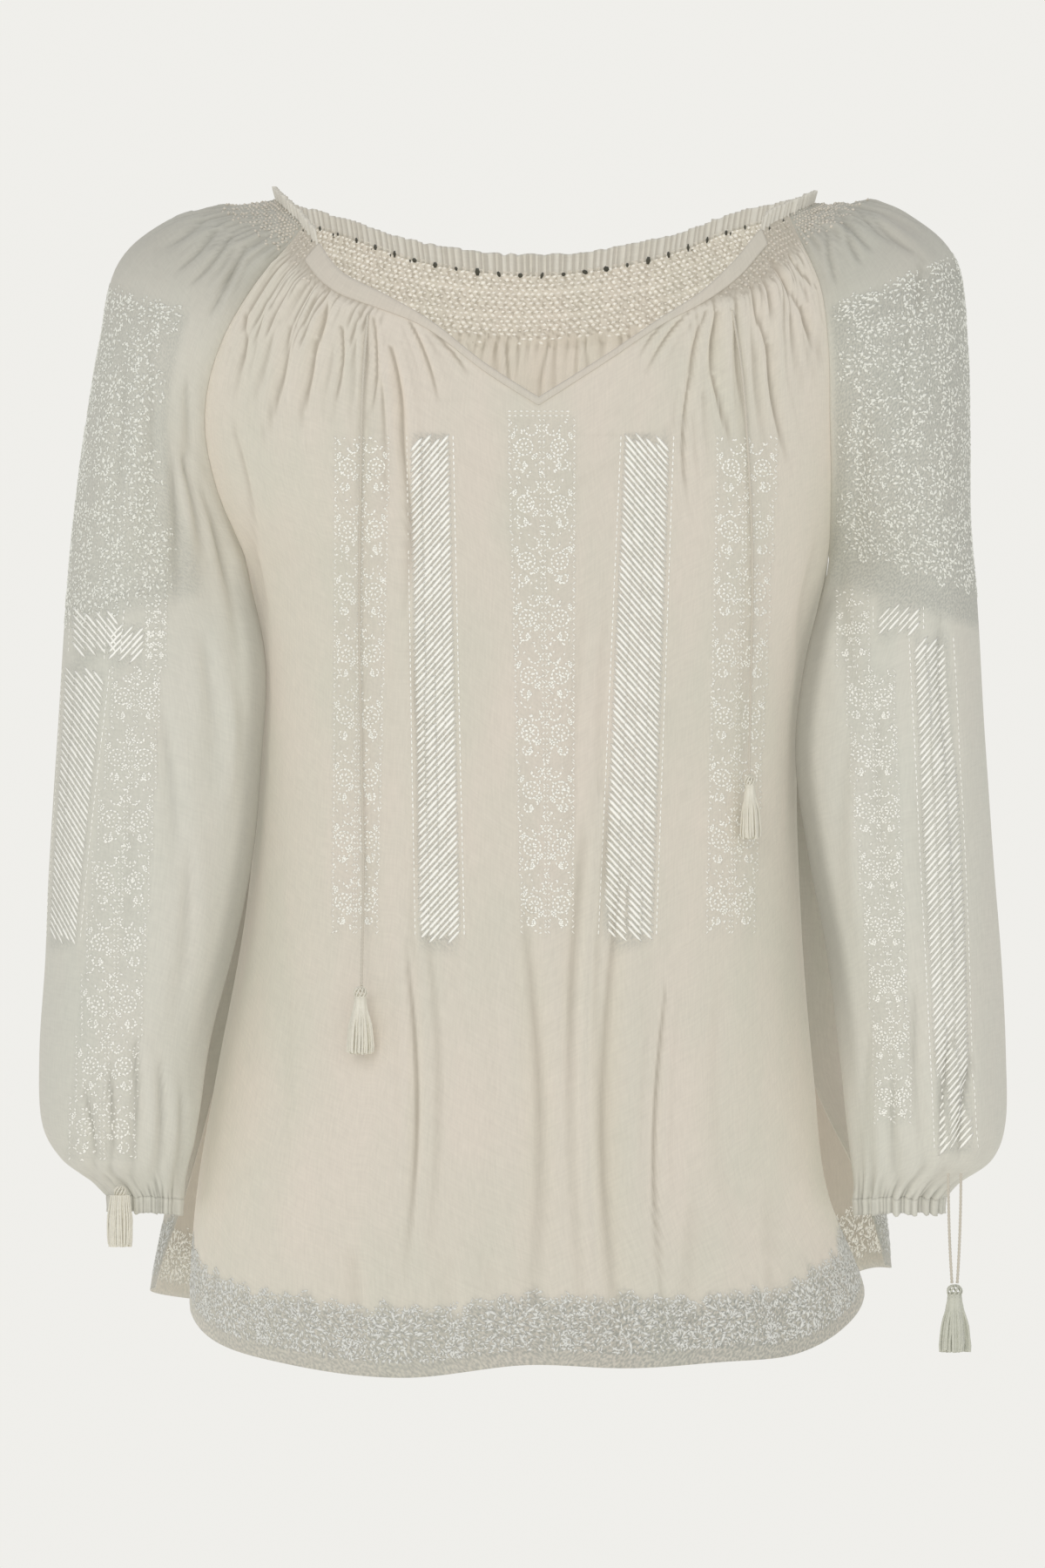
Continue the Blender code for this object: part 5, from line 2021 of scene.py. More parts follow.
@dataclass
class BodyPanel:
    """The front or back panel with its embroidery."""

    name: str
    surface: PanelSurface
    split: float
    columns: int
    neck_rows: int
    body_rows: int
    flat: tuple[float, float]
    area: float
    band_seed: int
    neck_share: float = 0.105
    hem_share: float = 0.915
    hem_rows: int = 18

    @staticmethod
    def part_faces(cloth: bpy.types.Object, shade: np.ndarray) -> None:
        """Paint shade into the panel's inner face, and mark its outer one.

        Args:
            cloth: The panel.
            shade: How much painted shade each point of the inner face gets.
        """
        mesh = cloth.data
        count = shade.size
        places = np.empty(3 * len(mesh.vertices))
        mesh.vertices.foreach_get("co", places)
        places = places.reshape(-1, 3)
        assert len(places) == 2 * count
        hollow = np.empty(len(places), dtype=np.float32)
        mesh.attributes["hollow"].data.foreach_get("value", hollow)
        first_is_outer = np.mean(places[:count, 1]) > np.mean(places[count:, 1])
        inner = slice(count, 2 * count) if first_is_outer else slice(0, count)
        hollow[inner] = np.clip(hollow[inner] + shade.ravel(), 0, 1)
        mesh.attributes["hollow"].data.foreach_set("value", hollow)
        outer = np.ones(len(places), dtype=np.float32)
        outer[inner] = 0.0
        mesh.attributes.new("outer", "FLOAT", "POINT").data.foreach_set("value", outer)

    def build(self) -> bpy.types.Object:
        """Make the panel, its hem band and its columns.

        Returns:
            The cloth piece.
        """
        half = self.columns // 2
        across = np.concatenate([
            np.linspace(-1, self.split, half + 1), np.linspace(self.split, 1, half + 1)[1:]
        ])
        top = self.surface.neck(across)
        bottom, = smooth_columns(self.surface.hem, across)
        steps = np.concatenate([
            np.linspace(0, self.neck_share, self.neck_rows, endpoint=False),
            np.linspace(self.neck_share, self.hem_share, self.body_rows - self.hem_rows, endpoint=False),
            np.linspace(self.hem_share, 1, self.hem_rows),
        ])
        drop = top[None, :] + (bottom - top)[None, :] * steps[:, None]
        place = np.broadcast_to(across[None, :], drop.shape)
        grid = self.surface.points(place, drop)
        band = HemBand(self.surface, self.band_seed)
        worked = band.mask(place, drop)
        if self.name == "front":
            bars = [c for c, _ in FRONT_BAR_COLUMNS]
            worked = np.maximum(worked, 0.12 * box_mask(grid[..., 0], drop, FRONT_FLORAL_COLUMNS))
            worked = np.maximum(worked, 0.5 * box_mask(grid[..., 0], drop, bars))
        # Painted shade: folds of the back's neck shade its inner face, the cloth between smocking puffs is
        # darkened, and on the front so is the lower right, the side that gets less light.
        inside = (1 - ease(drop, 100, 130)) if self.name == "back" else 0.0
        if self.name == "back":
            painted_shade = 0.1 * self.surface.smocked(place, drop)
        else:
            turned = 0.35 * ease(grid[..., 0], 100, 190) * ease(drop, 560, 640)
            painted_shade = np.maximum(self.surface.smocked(place, drop), turned)
        finish, gain = (Finish.BACK, 1.6) if self.name == "back" else (Finish.BODY, 2.3)
        cloth = cloth_piece(
            f"{self.name}_cloth", grid, finish, self.surface.outward(place, drop), worked, inside=inside,
            painted_shade=painted_shade, gain=gain,
        )
        if self.name == "back":
            # Painted shade on the back's inner face beside the side vents, where it shows between the front and
            # the sleeves.
            low = ease(drop, 430, 520)
            vent = ease(np.abs(place), 0.80 - 0.42 * low, 0.93 - 0.45 * low) * ease(drop, 200, 330)
            self.part_faces(cloth, 1.2 * vent * (1 - 0.7 * ease(drop, 585, 612)))
        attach(cloth, BODY)
        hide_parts(f"{self.name}_panel")
        sewn = [lay_stitches(
            f"{self.name}_hem_band", self.surface, band.stitch(), Finish.HEM_THREAD, mapped=False
        )]
        if self.name == "back":
            sewn.append(lay_stitches(
                "back_hem_band_inside", self.surface, band.stitch(), Finish.SATIN, mapped=False, out=-0.45
            ))
        if self.name == "front":
            for index, column in enumerate(FRONT_FLORAL_COLUMNS):
                work = FloralColumn(column, seed=11 + index, header=index == 1).stitch()
                sewn.append(lay_stitches(f"front_floral_{index + 1}", self.surface, work, Finish.SATIN))
            for index, (column, lean) in enumerate(FRONT_BAR_COLUMNS):
                work = BarColumn(column, lean).stitch()
                sewn.append(lay_stitches(
                    f"front_bars_{index + 1}", self.surface, work, Finish.SATIN, loft=0.45, rings=3
                ))
        LOG.info("%s cloth made", self.name)
        return cloth


class SleeveWork(NamedTuple):
    """What one sleeve's embroidery has of its own: columns, edges of the flower field, how strong its
    embroidered ground is, and how strong the painted shade under its arm is.
    """

    floral: Sequence[ColumnRow]
    bars: Sequence[tuple[ColumnRow, int]]
    flowers_first: float
    flowers_top: float
    ground_first: float
    ground_top: float
    ground_shade: float
    under_shade: float


LEFT_WORK = SleeveWork(LEFT_SLEEVE_FLORAL, LEFT_SLEEVE_BARS, 0.16, 3.5, 0.12, 3.2, 0.5, 0.9)
RIGHT_WORK = SleeveWork(RIGHT_SLEEVE_FLORAL, RIGHT_SLEEVE_BARS, 0.05, 3.15, 0.02, 2.9, 0.8, 1.35)


@dataclass
class Sleeve:
    """A sleeve with its cuff and embroidery."""

    side: int
    rows: int = 132
    columns: int = 168
    cuff_rows: int = 34
    flower_pitch: float = 25.5
    shade_width: float = 13.0
    flat: tuple[float, float] = (0.42, 0.64)
    area: float = 0.22

    cuff_height: float = 9.3
    cuff_levels: int = 7

    @property
    def name(self) -> str:
        """Left or right."""
        return "left" if self.side < 0 else "right"

    @property
    def work(self) -> SleeveWork:
        """The embroidery of this side."""
        return LEFT_WORK if self.side < 0 else RIGHT_WORK

    def field(self, needle: Needle) -> Stitches:
        """The field of star flowers over the upper sleeve, in surface coordinates.

        Args:
            needle: What draws the flowers.

        Returns:
            The stitches.
        """
        surface = sleeve_surface(self.side)
        bold = Needle(needle.seed + 7, 1.9)
        parts = []
        first, top = self.work.flowers_first, self.work.flowers_top
        for row, station in enumerate(np.arange(top, 6.95, self.flower_pitch * 0.92 / SLEEVE_STEP)):
            ring = surface.bare(np.linspace(0, 1, 60), np.full(60, station))
            arc = float(np.linalg.norm(np.diff(ring, axis=0), axis=1).sum())
            count = max(3, int((1 - 2 * first) * arc / self.flower_pitch))
            shift = 0.5 * (row % 2)
            for index in range(count):
                around = first + (1 - 2 * first) * (index + 0.25 + 0.5 * shift) / count
                flower = joined([
                    bold.star(0.0, 0.0, 8.6),
                    needle.seeds(needle.draw.uniform(-13, 13, 62), needle.draw.uniform(-12, 12, 62), 3.0),
                    bold.scroll(12.4, 0.0, 3.4, 1.6, 4.4, 0.3), bold.scroll(0.0, 11.6, 3.2, 0.2, 4.4, 0.3),
                ])
                scale_u, scale_v = 1.0 / arc, 1.0 / SLEEVE_STEP
                ends = flower.ends * np.array([scale_u, scale_v, scale_u, scale_v])
                ends = ends + np.array([around, station, around, station])
                parts.append(Stitches(ends, flower.widths))
        return joined(parts)

    def mask(self, around: np.ndarray, station: np.ndarray, grid: np.ndarray) -> np.ndarray:
        """How densely each place on the sleeve is embroidered.

        Args:
            around: Places around the sleeve, from 0 at the front seam to 1 at the back seam.
            station: Places down the sleeve, by station.
            grid: The cloth's points in millimetres.

        Returns:
            Values from 0 to 1.
        """
        first, top = self.work.ground_first, self.work.ground_top
        field_mask = ease(station, top, top + 0.25) * (1 - ease(station, 7.1, 7.3))
        field_mask = field_mask * ease(np.minimum(around, 1 - around), first - 0.02, first + 0.01)
        plain_x, plain_drop = grid[..., 0], -grid[..., 2]
        columns = 0.2 * box_mask(plain_x, plain_drop, self.work.floral)
        columns = np.maximum(columns, 0.45 * box_mask(plain_x, plain_drop, [c for c, _ in self.work.bars]))
        return np.maximum(self.work.ground_shade * field_mask, columns)

    def build(self) -> bpy.types.Object:
        """Make the sleeve, its cuff and its embroidery.

        Returns:
            The cloth piece.
        """
        surface = sleeve_surface(self.side)
        armhole = int(self.rows * 0.42)
        station = np.concatenate([
            np.linspace(0, 7, armhole, endpoint=False),
            np.linspace(7, 13, self.rows - armhole - self.cuff_rows, endpoint=False),
            np.linspace(13, 16, self.cuff_rows),
        ])
        around, station = np.broadcast_arrays(np.linspace(0, 1, self.columns)[None, :], station[:, None])
        grid = surface.points(around, station)
        # Painted shade: a strip under the arm beside the body, and the smocked and gathered shoulder, where
        # less light falls.
        inner_x = smooth_columns(surface.inner, station)[0]
        under = 1 - ease(np.abs(grid[..., 0] - inner_x), 5, self.shade_width)
        under = under * ease(station, 6.9, 7.5) * (1 - ease(station, 11.0, 13.0))
        smocked = 1 - 0.2 * ease(station, 1.1, 1.5) - 0.8 * ease(station, 2.2, 4.2)
        painted_shade = np.maximum(smocked, self.work.under_shade * under)
        cloth = cloth_piece(
            f"{self.name}_sleeve_cloth", grid, Finish.SLEEVE, surface.outward(around, station),
            self.mask(around, station, grid), painted_shade=painted_shade,
        )
        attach(cloth, BODY)
        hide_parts(f"{self.name}_sleeve")
        sewn = self.embroider(surface)
        self.cuff(grid)
        LOG.info("%s sleeve made", self.name)
        return cloth

    def embroider(self, surface: SleeveSurface) -> list[bpy.types.Object]:
        """Lay the sleeve's embroidery.

        Args:
            surface: The sleeve's surface.

        Returns:
            The pieces of needlework.
        """
        needle = Needle(61 + self.side)
        sewn = [lay_stitches(
            f"{self.name}_sleeve_flowers", surface, self.field(needle), Finish.FIELD_THREAD, mapped=False
        )]
        flowers = joined([FloralColumn(column, seed=71 + self.side).stitch() for column in self.work.floral])
        satin = joined([BarColumn(column, lean, width=1.8).stitch() for column, lean in self.work.bars])
        for back in (False, True):
            half = "back" if back else "front"
            sewn.append(lay_stitches(
                f"{self.name}_sleeve_columns_{half}", surface, flowers, Finish.SATIN, back=back, loft=0.5
            ))
            sewn.append(lay_stitches(
                f"{self.name}_sleeve_bars_{half}", surface, satin, Finish.SATIN, back=back, loft=0.45, rings=3
            ))
        return sewn

    def cuff(self, grid: np.ndarray) -> None:
        """Carry the mouth of the sleeve on as a narrow gathered band with a rolled edge.

        Args:
            grid: The sleeve's points in millimetres, whose last row is its mouth.
        """
        mouth = grid[-1]
        centre = mouth.mean(axis=0)
        levels = np.linspace(0, 1, self.cuff_levels)
        roll = np.array([0.0, 0.2, 0.1, 0.0, 0.0, 0.1, 0.4])
        away = unit((mouth - centre) * np.array([1, 1, 0.2]))
        rows = [
            mouth + (centre - mouth) * 0.02 * level + away * bulge + np.array([0, 0, -self.cuff_height * level])
            for level, bulge in zip(levels, roll)
        ]
        band = np.array(rows)
        outward = np.broadcast_to(away, band.shape)
        piece = cloth_piece(f"{self.name}_cuff_band", band, Finish.SLEEVE, outward, wall=0.9, round_tube=True)
        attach(piece, BODY)
        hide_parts(f"{self.name}_cuff")


@dataclass
class Neck:
    """The gathered heading, its eyelets, the smocking threads and the binding of the opening."""

    pleats: int = 142
    samples: int = 8
    heading_height: float = 10.0
    heading_lift: float = 0.4
    heading_lean: float = 0.22
    shoulder_dip: float = 0.25
    eyelet_pitch: float = 12.6
    puff_pitch: float = 2.8

    def edge(self) -> np.ndarray:
        """The neck edge from the left head of the opening round the back to the right head.

        Returns:
            Its points, in millimetres.
        """
        left_front = np.linspace(OPENING_LEFT, -0.995, 9)
        right_front = np.linspace(0.995, OPENING_RIGHT, 9)
        across = np.linspace(-0.985, 0.985, 60)
        over = np.linspace(0.02, 0.98, 21)
        parts = [panel_points(FRONT_ROWS, left_front, front_neck_drop(left_front))]
        parts.append(sleeve_surface(-1).bare(over, np.zeros(21)))
        parts.append(panel_points(BACK_ROWS, across, back_neck_drop(across)))
        parts.append(sleeve_surface(1).bare(over, np.zeros(21))[::-1])
        parts.append(panel_points(FRONT_ROWS, right_front, front_neck_drop(right_front)))
        return np.concatenate(parts)

    def heading(self) -> None:
        """Make the standing heading with its close pleats."""
        foot = even_path(self.edge(), self.pleats * self.samples + 1)
        centre = np.array([foot[:, 0].mean(), 0.0])
        away = np.zeros_like(foot)
        away[:, :2] = unit(foot[:, :2] - centre)
        draw = np.random.default_rng(81)
        phase = np.linspace(0, 2 * math.pi * self.pleats, len(foot))
        knots = np.linspace(0, len(foot) - 1, self.pleats)
        phase = phase + np.interp(np.arange(len(foot)), knots, draw.uniform(-1.7, 1.7, self.pleats))
        uneven = np.interp(np.arange(len(foot)), knots, draw.uniform(0.45, 1.45, self.pleats))
        height = self.heading_height * (1 - self.shoulder_dip * away[:, 0] ** 6)
        height = height * np.interp(np.arange(len(foot)), knots, draw.uniform(0.88, 1.08, self.pleats))
        rows = []
        for level in np.linspace(1, -0.25, 8):
            ridge = np.sin(phase) * uneven * (0.75 + 0.4 * max(level, 0))
            row = foot + away * (height * self.heading_lean * max(level, 0) + ridge)[:, None]
            row[:, 2] += self.heading_lift + height * level
            rows.append(row)
        grid = np.array(rows)
        # Painted shade on the heading's front parts.
        piece = cloth_piece(
            "neck_ruffle", grid, Finish.TRIM, np.broadcast_to(away, grid.shape), wall=0.55,
            painted_shade=0.55 * (1 - ease(grid[..., 1], -20, 12)),
        )
        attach(piece, BODY)
        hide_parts("neck_heading")
        LOG.info("neck heading made")

    def eyelets(self) -> None:
        """Dark mouths of the drawstring channel round the neck, on the inner and outer faces, as stitches in a
        near-black painted shadow.
        """
        path = even_path(self.edge(), 400)
        length = float(np.linalg.norm(np.diff(path, axis=0), axis=1).sum())
        count = int(length / self.eyelet_pitch)
        picks = (np.arange(count) + 0.5) / count * 399
        points = np.stack([np.interp(picks, np.arange(400), path[:, axis]) for axis in range(3)], axis=-1)
        centre = np.array([path[:, 0].mean(), 0.0, 0.0])
        away = (points - centre) * np.array([1.0, 1.0, 0.0])
        away = unit(away)
        along = unit(np.cross(away, np.array([0.0, 0.0, 1.0])))
        draw = np.random.default_rng(83)
        # Each mouth is a dark stitch: painted shadow where the channel opens.
        for name, finish, girth, span, side in (
            ("eyelet_mouths_inner", Finish.CHANNEL, 3.9, 3.0, -1),
            ("eyelet_mouths_outer", Finish.CHANNEL, 3.4, 3.0, 1),
        ):
            spots = points + away * side * 1.3 + np.array([0, 0, -1.9])
            mesh = bpy.data.meshes.new(name)
            mesh.from_pydata([tuple(p) for p in spots * MM], [], [])
            tilt = unit(along + draw.uniform(-0.5, 0.5, count)[:, None] * np.array([0, 0, 1.0]))
            columns = {
                "lay": tilt, "up": away * side, "span": span * draw.uniform(0.6, 1.35, count) * MM,
                "girth": girth * draw.uniform(0.55, 1.35, count) * MM,
            }
            work_stitches(name, mesh, columns, {
                "Loft": 0.32, "Unevenness": 0.1, "Seed": 9, "Rings": 3, "Thread": finish.material(),
            })
        LOG.info("%d eyelets made", count)

    def smocking(self, name: str, surface: PanelSurface, inside: bool) -> None:
        """Raise the small puffs of the honeycomb smocking on a panel.

        Args:
            name: The piece's name.
            surface: The panel that is smocked.
            inside: Whether the puffs show on the inner face.
        """
        pitch = self.puff_pitch
        draw = np.random.default_rng(len(name))
        parts = []
        for index, depth in enumerate(np.arange(2.5, 62.0, 0.92 * pitch)):
            along = np.arange(-147.0, 147.0, pitch) + 0.5 * pitch * (index % 2)
            along = along + draw.uniform(-0.35, 0.35, len(along))
            across = along / surface.neck_reach
            drop = surface.neck(across) + depth + draw.uniform(-0.3, 0.3, len(along))
            foot, = smooth_columns(surface.smocking_foot, across)
            kept = (drop < foot + 1) & (surface.fullness(across) > 0.6) & (np.abs(across) < 0.985)
            if surface.strip:
                width, = smooth_columns(surface.strip, across)
                under = (across > OPENING_LEFT - 0.01) & (across < OPENING_RIGHT + 0.01)
                kept &= ~under | (drop > surface.neck(across) + width + 1.5)
            half = 0.40 * pitch / surface.neck_reach
            kept &= draw.uniform(0, 1, len(along)) < 0.25 + 0.75 * ease(foot - drop, -1, 7)
            slant = (0.85 if index % 2 else -0.85) + draw.uniform(-0.6, 0.6, len(along))
            ends = np.stack([across - half, drop - 0.5 * slant, across + half, drop + 0.5 * slant], axis=-1)
            ends = ends[kept]
            parts.append(Stitches(ends, draw.uniform(1.5, 2.5, len(ends))))
        lay_stitches(
            name, surface, joined(parts), Finish.SMOCK_INSIDE if inside else Finish.SMOCK, mapped=False,
            out=-0.35 if inside else 0.35, loft=0.85,
        )

    def shoulder_smocking(self, side: int) -> None:
        """Raise the puffs of the smocking over one shoulder.

        Args:
            side: -1 for the left shoulder, 1 for the right.
        """
        surface = sleeve_surface(side)
        pitch = self.puff_pitch
        draw = np.random.default_rng(120 + side)
        parts = []
        stations = np.arange(0.06, surface.smocked_station + 0.3, 0.92 * pitch / SHOULDER_STEP)
        for index, station in enumerate(stations):
            ring = surface.bare(np.linspace(0, 1, 40), np.full(40, station))
            arc = float(np.linalg.norm(np.diff(ring, axis=0), axis=1).sum())
            around = np.arange(0.5 * (index % 2) + 1.0, arc / pitch - 0.5) * pitch / arc
            half = 0.40 * pitch / arc
            slant = (0.025 if index % 2 else -0.025) * np.ones(len(around))
            spot = station + draw.uniform(-0.015, 0.015, len(around))
            ends = np.stack([around - half, spot - 0.5 * slant, around + half, spot + 0.5 * slant], axis=-1)
            share = 1.0 - 0.8 * ease(station, 0.5, surface.smocked_station + 0.3)
            kept = draw.uniform(0, 1, len(around)) < share
            parts.append(Stitches(ends[kept], draw.uniform(1.5, 2.4, int(kept.sum()))))
        name = f"{'left' if side < 0 else 'right'}_shoulder_smocking"
        lay_stitches(name, surface, joined(parts), Finish.SMOCK, mapped=False, out=0.35, loft=0.85)

    def binding(self) -> None:
        """Make the folded strip along both edges of the opening."""
        half = 90
        across = np.concatenate([
            np.linspace(OPENING_LEFT, OPENING_POINT, half + 1),
            np.linspace(OPENING_POINT, OPENING_RIGHT, half + 1)[1:],
        ])
        width, = smooth_columns(BINDING, across)
        edge = front_neck_drop(across)
        rows = []
        for level in np.linspace(-0.12, 1, 9):
            crown = 0.3 * math.sin(math.pi * min(max(level, 0.0), 1.0)) ** 0.5
            sink = -0.6 if level < 0 else 0.0
            rows.append(panel_points(FRONT_ROWS, across, edge + width * level, 0.75 + crown + sink))
        grid = np.array(rows)
        outward = panel_points(FRONT_ROWS, across, edge, 1.0) - panel_points(FRONT_ROWS, across, edge, 0.0)
        piece = cloth_piece(
            "opening_binding", grid, Finish.BINDING, np.broadcast_to(outward, grid.shape), wall=0.6
        )
        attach(piece, BODY)
        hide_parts("neck_binding")
        LOG.info("binding made")

    def build(self) -> None:
        """Make everything at the neck."""
        self.heading()
        self.eyelets()
        self.binding()
        self.smocking("back_smocking_inside", back_surface(), True)
        self.smocking("back_smocking_outside", back_surface(), False)
        self.smocking("front_smocking", front_surface(), False)
        for side in (-1, 1):
            self.shoulder_smocking(side)


@dataclass
class Tassel:
    """A tassel: a knotted head, a bound neck and a skirt of threads."""

    name: str
    size: TasselSize
    y: float
    strands: int = 110
    seed: int = 91
    waist: float = 0.30
    thread: Finish = Finish.TASSEL
    core_strands: int = 6
    binding_turns: int = 5
    head_loops: int = 9

    def build(self) -> bpy.types.Object:
        """Make the tassel.

        Returns:
            The skirt.
        """
        size = self.size
        radius, height = size.skirt_radius, size.height
        draw = np.random.default_rng(self.seed)
        top = np.array([size.x, self.y, -size.top])
        steps = np.linspace(0, 1, 9)
        paths = []
        for _ in range(self.strands):
            angle = draw.uniform(0, 2 * math.pi)
            share = math.sqrt(draw.uniform(0.02, 1))
            start, end = self.waist * radius * share, 0.95 * radius * share
            belly = 0.5 * (start + end) + 0.16 * radius * share
            reach = np.interp(steps, [0, 0.12, 0.5, 0.9, 1], [start, start * 1.1, belly, end, 0.96 * end])
            sway = angle + 0.07 * np.sin(steps * draw.uniform(1, 3) + draw.uniform(0, 6))
            drop = height * (0.16 + (draw.uniform(0.79, 0.84)) * steps)
            paths.append(top + np.stack([reach * np.cos(sway), reach * np.sin(sway), -drop], axis=-1))
        skirt = lay_strands(f"{self.name}_skirt", paths, 0.085 * radius, self.thread, 1.0, 60.0, 3.6, 5)
        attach(skirt, BODY)
        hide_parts(self.name)
        core = [top + np.stack([0 * steps, 0 * steps, -height * (0.12 + 0.74 * steps)], axis=-1)]
        for swing in np.linspace(0, 2 * math.pi, self.core_strands + 1)[:-1]:
            reach = 0.5 * np.interp(steps, [0, 0.5, 1], [self.waist * radius, 0.78 * radius, 0.9 * radius])
            core.append(top + np.stack([
                reach * math.cos(swing), reach * math.sin(swing), -height * (0.16 + 0.71 * steps)
            ], axis=-1))
        heart = lay_strands(f"{self.name}_core", core, 0.27 * radius, self.thread, 1.0, 60.0, 3.0, 8)
        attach(heart, BODY)
        turns = np.linspace(0, 2 * math.pi * self.binding_turns, 96)
        bound = 0.38 * radius
        wrap = top + np.stack([
            bound * np.cos(turns), bound * np.sin(turns), -height * (0.17 + 0.09 * turns / turns[-1])
        ], axis=-1)
        loops = []
        for index in range(self.head_loops):
            swing = 2 * math.pi * index / self.head_loops
            around = np.linspace(-0.5 * math.pi, 0.5 * math.pi, 13)
            bulge = 0.1 * radius + 0.34 * radius * np.cos(around)
            rise = -height * (0.105 + 0.085 * np.sin(-around))
            loops.append(top + np.stack([
                bulge * np.cos(swing + 0.5 * around), bulge * np.sin(swing + 0.5 * around), rise
            ], axis=-1))
        head = lay_strands(f"{self.name}_head", [wrap, *loops], 0.62, self.thread, 0.8, 2.6, 0.7, 6)
        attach(head, BODY)
        LOG.info("%s made", self.name)
        return skirt


def neck_cord_path(route: Sequence[RoutePoint]) -> np.ndarray:
    """A neck cord's centreline, lying in front of the panel.

    Args:
        route: The places it passes through.

    Returns:
        Its points, in millimetres.
    """
    keys = np.array([(p.drop, p.x, p.clear) for p in route], dtype=float)
    count = int((keys[-1, 0] - keys[0, 0]) / 2.6 / 2) + 1
    drop = np.linspace(keys[0, 0], keys[-1, 0], count)
    x, clear = smooth_columns(keys, drop)
    across = across_at_x(FRONT_ROWS, x, drop)
    out = clear + 2.4 + fold_height(FRONT_FOLDS, across, drop)
    turn = np.radians(smooth_columns(FRONT_ROWS, drop)[-1])
    across = across_at_x(FRONT_ROWS, x - out * np.sin(across * turn), drop)
    return panel_points(FRONT_ROWS, across, drop, out)


def cuff_cord_path(side: int) -> np.ndarray:
    """One strand of the right cuff cord, from the cuff to its tassel, in millimetres.

    Args:
        side: -1 for the left of the pair, 1 for the right.

    Returns:
        Points in millimetres.
    """
    part = np.linspace(0, 1, 16)
    x = 238.5 + side * (3.6 + (1.5 - 3.6) * part ** 2)
    foot = RIGHT_CUFF_TASSEL.top - 0.3
    return np.stack([x, np.full(16, -76.0), -(549.0 + (foot - 549.0) * part)], axis=-1)


@dataclass
class Cords:
    """The drawstrings' free ends with their tassels."""

    diameter: float = 1.8
    cuff_y: float = -76.0

    def cord(self, name: str, path: np.ndarray) -> None:
        """Make one twisted cord, and hide the CAD node it stands for.

        Args:
            name: The CAD node that the cord stands for.
            path: Its centreline, in millimetres.
        """
        piece = lay_strands(f"{name}_twist", [path], 0.5 * self.diameter, Finish.CORD, 0.72, 4.2, 0.7, 8)
        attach(piece, BODY)
        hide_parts(name)

    def build(self) -> None:
        """Make all cords and tassels."""
        left, right = neck_cord_path(LEFT_NECK_ROUTE), neck_cord_path(RIGHT_NECK_ROUTE)
        left_tassel = Tassel("left_neck_tassel", LEFT_NECK_TASSEL, float(left[-1, 1]), seed=91).build()
        right_tassel = Tassel("right_neck_tassel", RIGHT_NECK_TASSEL, float(right[-1, 1]), seed=92).build()
        cuff_tassel = Tassel(
            "right_cuff_tassel", RIGHT_CUFF_TASSEL, self.cuff_y, 120, 93, thread=Finish.TASSEL_COOL
        ).build()
        Tassel("left_cuff_tassel", LEFT_CUFF_TASSEL, self.cuff_y, 110, 94, 0.72).build()
        self.cord("left_neck_cord", left)
        self.cord("right_neck_cord", right)
        self.cord("right_cuff_cord_a", cuff_cord_path(-1))
        self.cord("right_cuff_cord_b", cuff_cord_path(1))


class LampRow(NamedTuple):
    """A soft square lamp: its name, place and side in metres, and its power in watts."""

    name: str
    place: tuple[float, float, float]
    side: float
    power: float


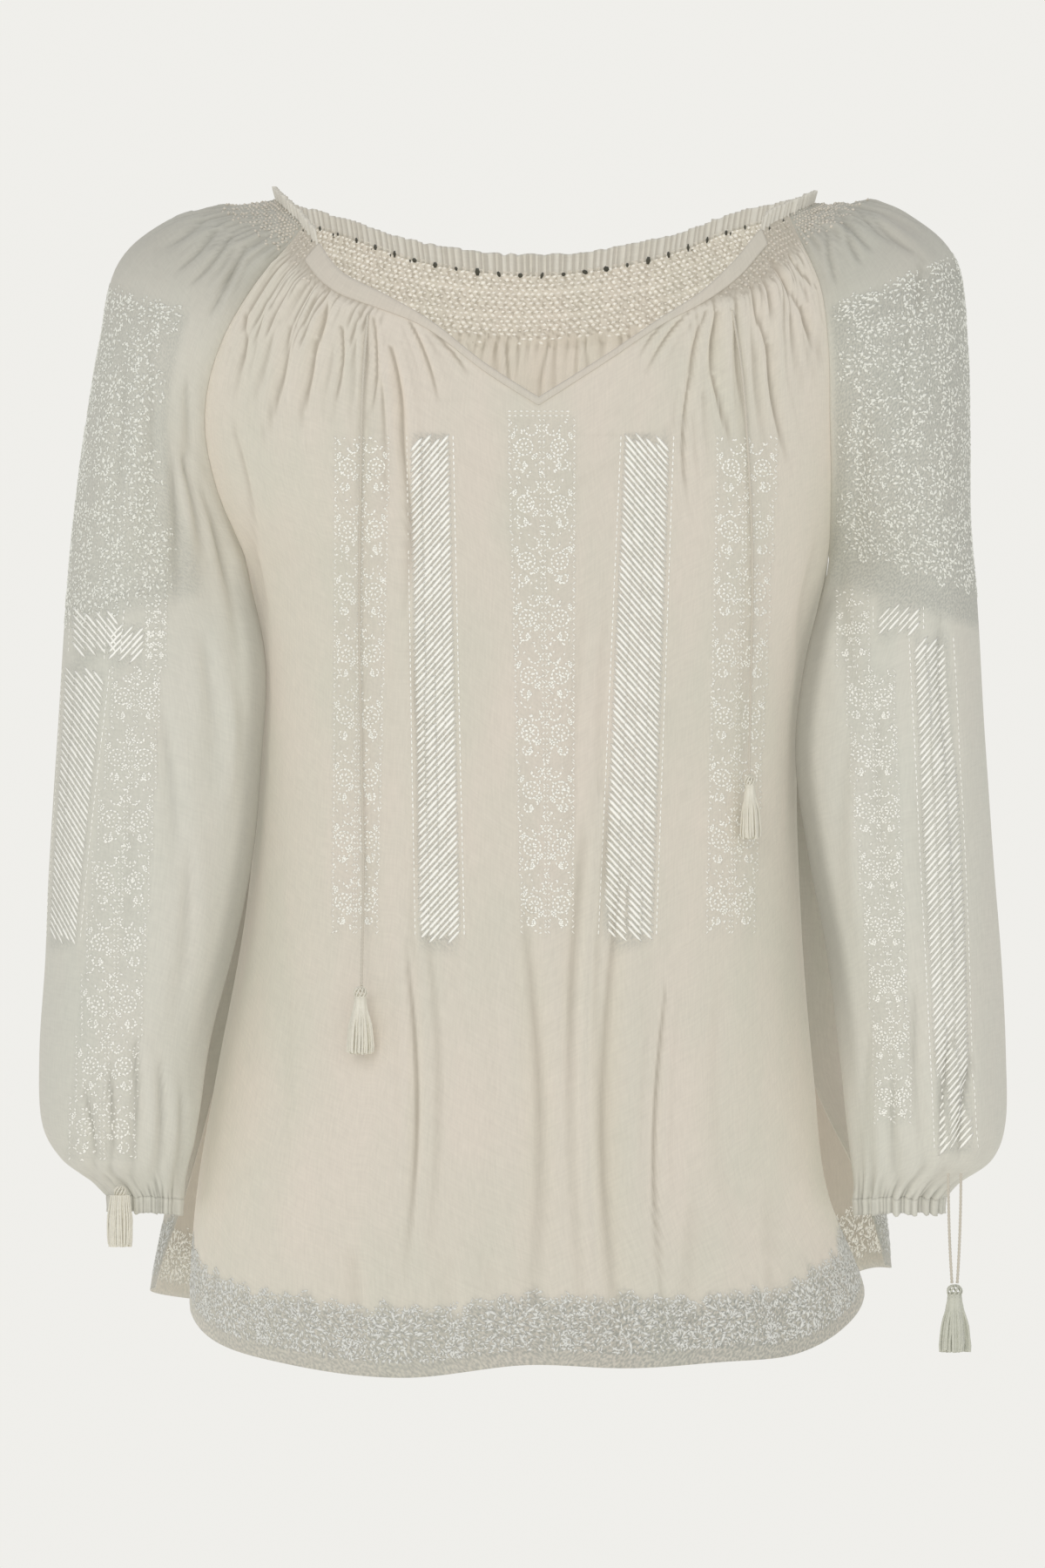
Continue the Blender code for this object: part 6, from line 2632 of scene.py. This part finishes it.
@dataclass
class Studio:
    """A pale floor that sweeps up behind, soft lights and the camera."""

    middle: tuple[float, float, float]
    distance: float = 9.0
    lens: float = 360.0
    pale: Colour = (0.871, 0.863, 0.831)

    def camera(self) -> None:
        """Set the camera level in front of the blouse."""
        data = bpy.data.cameras.new("camera")
        data.lens = self.lens
        data.sensor_width = 36.0
        data.clip_end = 60.0
        camera = bpy.data.objects.new("camera", data)
        camera.location = (self.middle[0], -self.distance, self.middle[2])
        camera.rotation_euler = (math.pi / 2, 0.0, 0.0)
        bpy.context.scene.collection.objects.link(camera)
        bpy.context.scene.camera = camera

    def backdrop(self) -> None:
        """Sweep the floor up into a wall on both sides of the camera's view."""
        profile = [(-6.0, 0.0), (2.0, 0.0)]
        for angle in np.linspace(0, math.pi / 2, 17)[1:]:
            profile.append((2.0 + 1.6 * math.sin(angle), 1.6 * (1 - math.cos(angle))))
        profile.append((3.6, 7.0))
        floor = -1.05
        points = [(x, y, floor + z) for x in (-6.0, 6.0) for y, z in profile]
        count = len(profile)
        faces = [(i, i + count, i + count + 1, i + 1) for i in range(count - 1)]
        mesh = bpy.data.meshes.new("backdrop")
        mesh.from_pydata(points, [], faces)
        mesh.shade_smooth()
        material, graph, shader = blank_material("backdrop_paper")
        place = graph.add("ShaderNodeTexCoord").outputs["Object"]
        deeper = tuple(0.995 * part for part in self.pale)
        tint = graph.blend(graph.noise(place, 3.0), (*self.pale, 1), (*deeper, 1))
        material.node_tree.links.new(tint, shader.inputs["Emission Color"])
        shader.inputs["Base Color"].default_value = (0.0, 0.0, 0.0, 1.0)
        shader.inputs["Roughness"].default_value = 1.0
        shader.inputs["Specular IOR Level"].default_value = 0.0
        shader.inputs["Emission Strength"].default_value = 1.0
        behind = graph.add("ShaderNodeNewGeometry").outputs["Backfacing"]
        material.node_tree.links.new(graph.math("SUBTRACT", 1.0, behind), shader.inputs["Alpha"])
        mesh.materials.append(material)
        plain_object("backdrop", mesh)

    def lights(self) -> None:
        """Hang the soft lights."""
        for row in (
            LampRow("key", (-1.5, -4.4, 1.5), 2.6, 55.0), LampRow("fill", (1.7, -4.6, 0.7), 2.6, 27.0),
        ):
            data = bpy.data.lights.new(row.name, "AREA")
            data.size = row.side
            data.energy = row.power
            data.color = (1.0, 0.985, 0.955)
            lamp = bpy.data.objects.new(row.name, data)
            lamp.location = row.place
            target = np.array([self.middle[0], 0.0, self.middle[2]])
            aim = unit(target - np.array(row.place))
            lamp.rotation_euler = (math.acos(-aim[2]), 0.0, math.atan2(aim[1], aim[0]) - math.pi / 2)
            bpy.context.scene.collection.objects.link(lamp)
        world = bpy.data.worlds.new("studio_air")
        bpy.context.scene.world = world
        world.use_nodes = True
        sky = world.node_tree.nodes["Background"]
        sky.inputs["Color"].default_value = (0.97, 0.98, 1.0, 1.0)
        sky.inputs["Strength"].default_value = 0.56

    def build(self) -> None:
        """Set up the whole studio."""
        self.camera()
        self.backdrop()
        self.lights()
        bpy.context.scene.view_settings.view_transform = "Standard"
        LOG.info("studio set up")


def build_blouse() -> None:
    """Make every piece of the blouse in order."""
    Cords().build()
    BodyPanel("front", front_surface(), OPENING_POINT, 372, 38, 64, (0.62, 0.70), 0.36, 101).build()
    BodyPanel("back", back_surface(), 0.0, 332, 36, 50, (0.66, 0.68), 0.40, 103).build()
    for side in (-1, 1):
        Sleeve(side).build()
    Neck().build()


def main() -> None:
    """Make the blouse and its studio."""
    logging.basicConfig(level=logging.INFO, format="%(name)s: %(message)s")
    middle = tuple(0.5 * (a + b) for a, b in zip(cad_low, cad_high))
    Studio((STUDIO_X, middle[1], STUDIO_Z)).build()
    build_blouse()


if __name__ == "__main__":
    main()
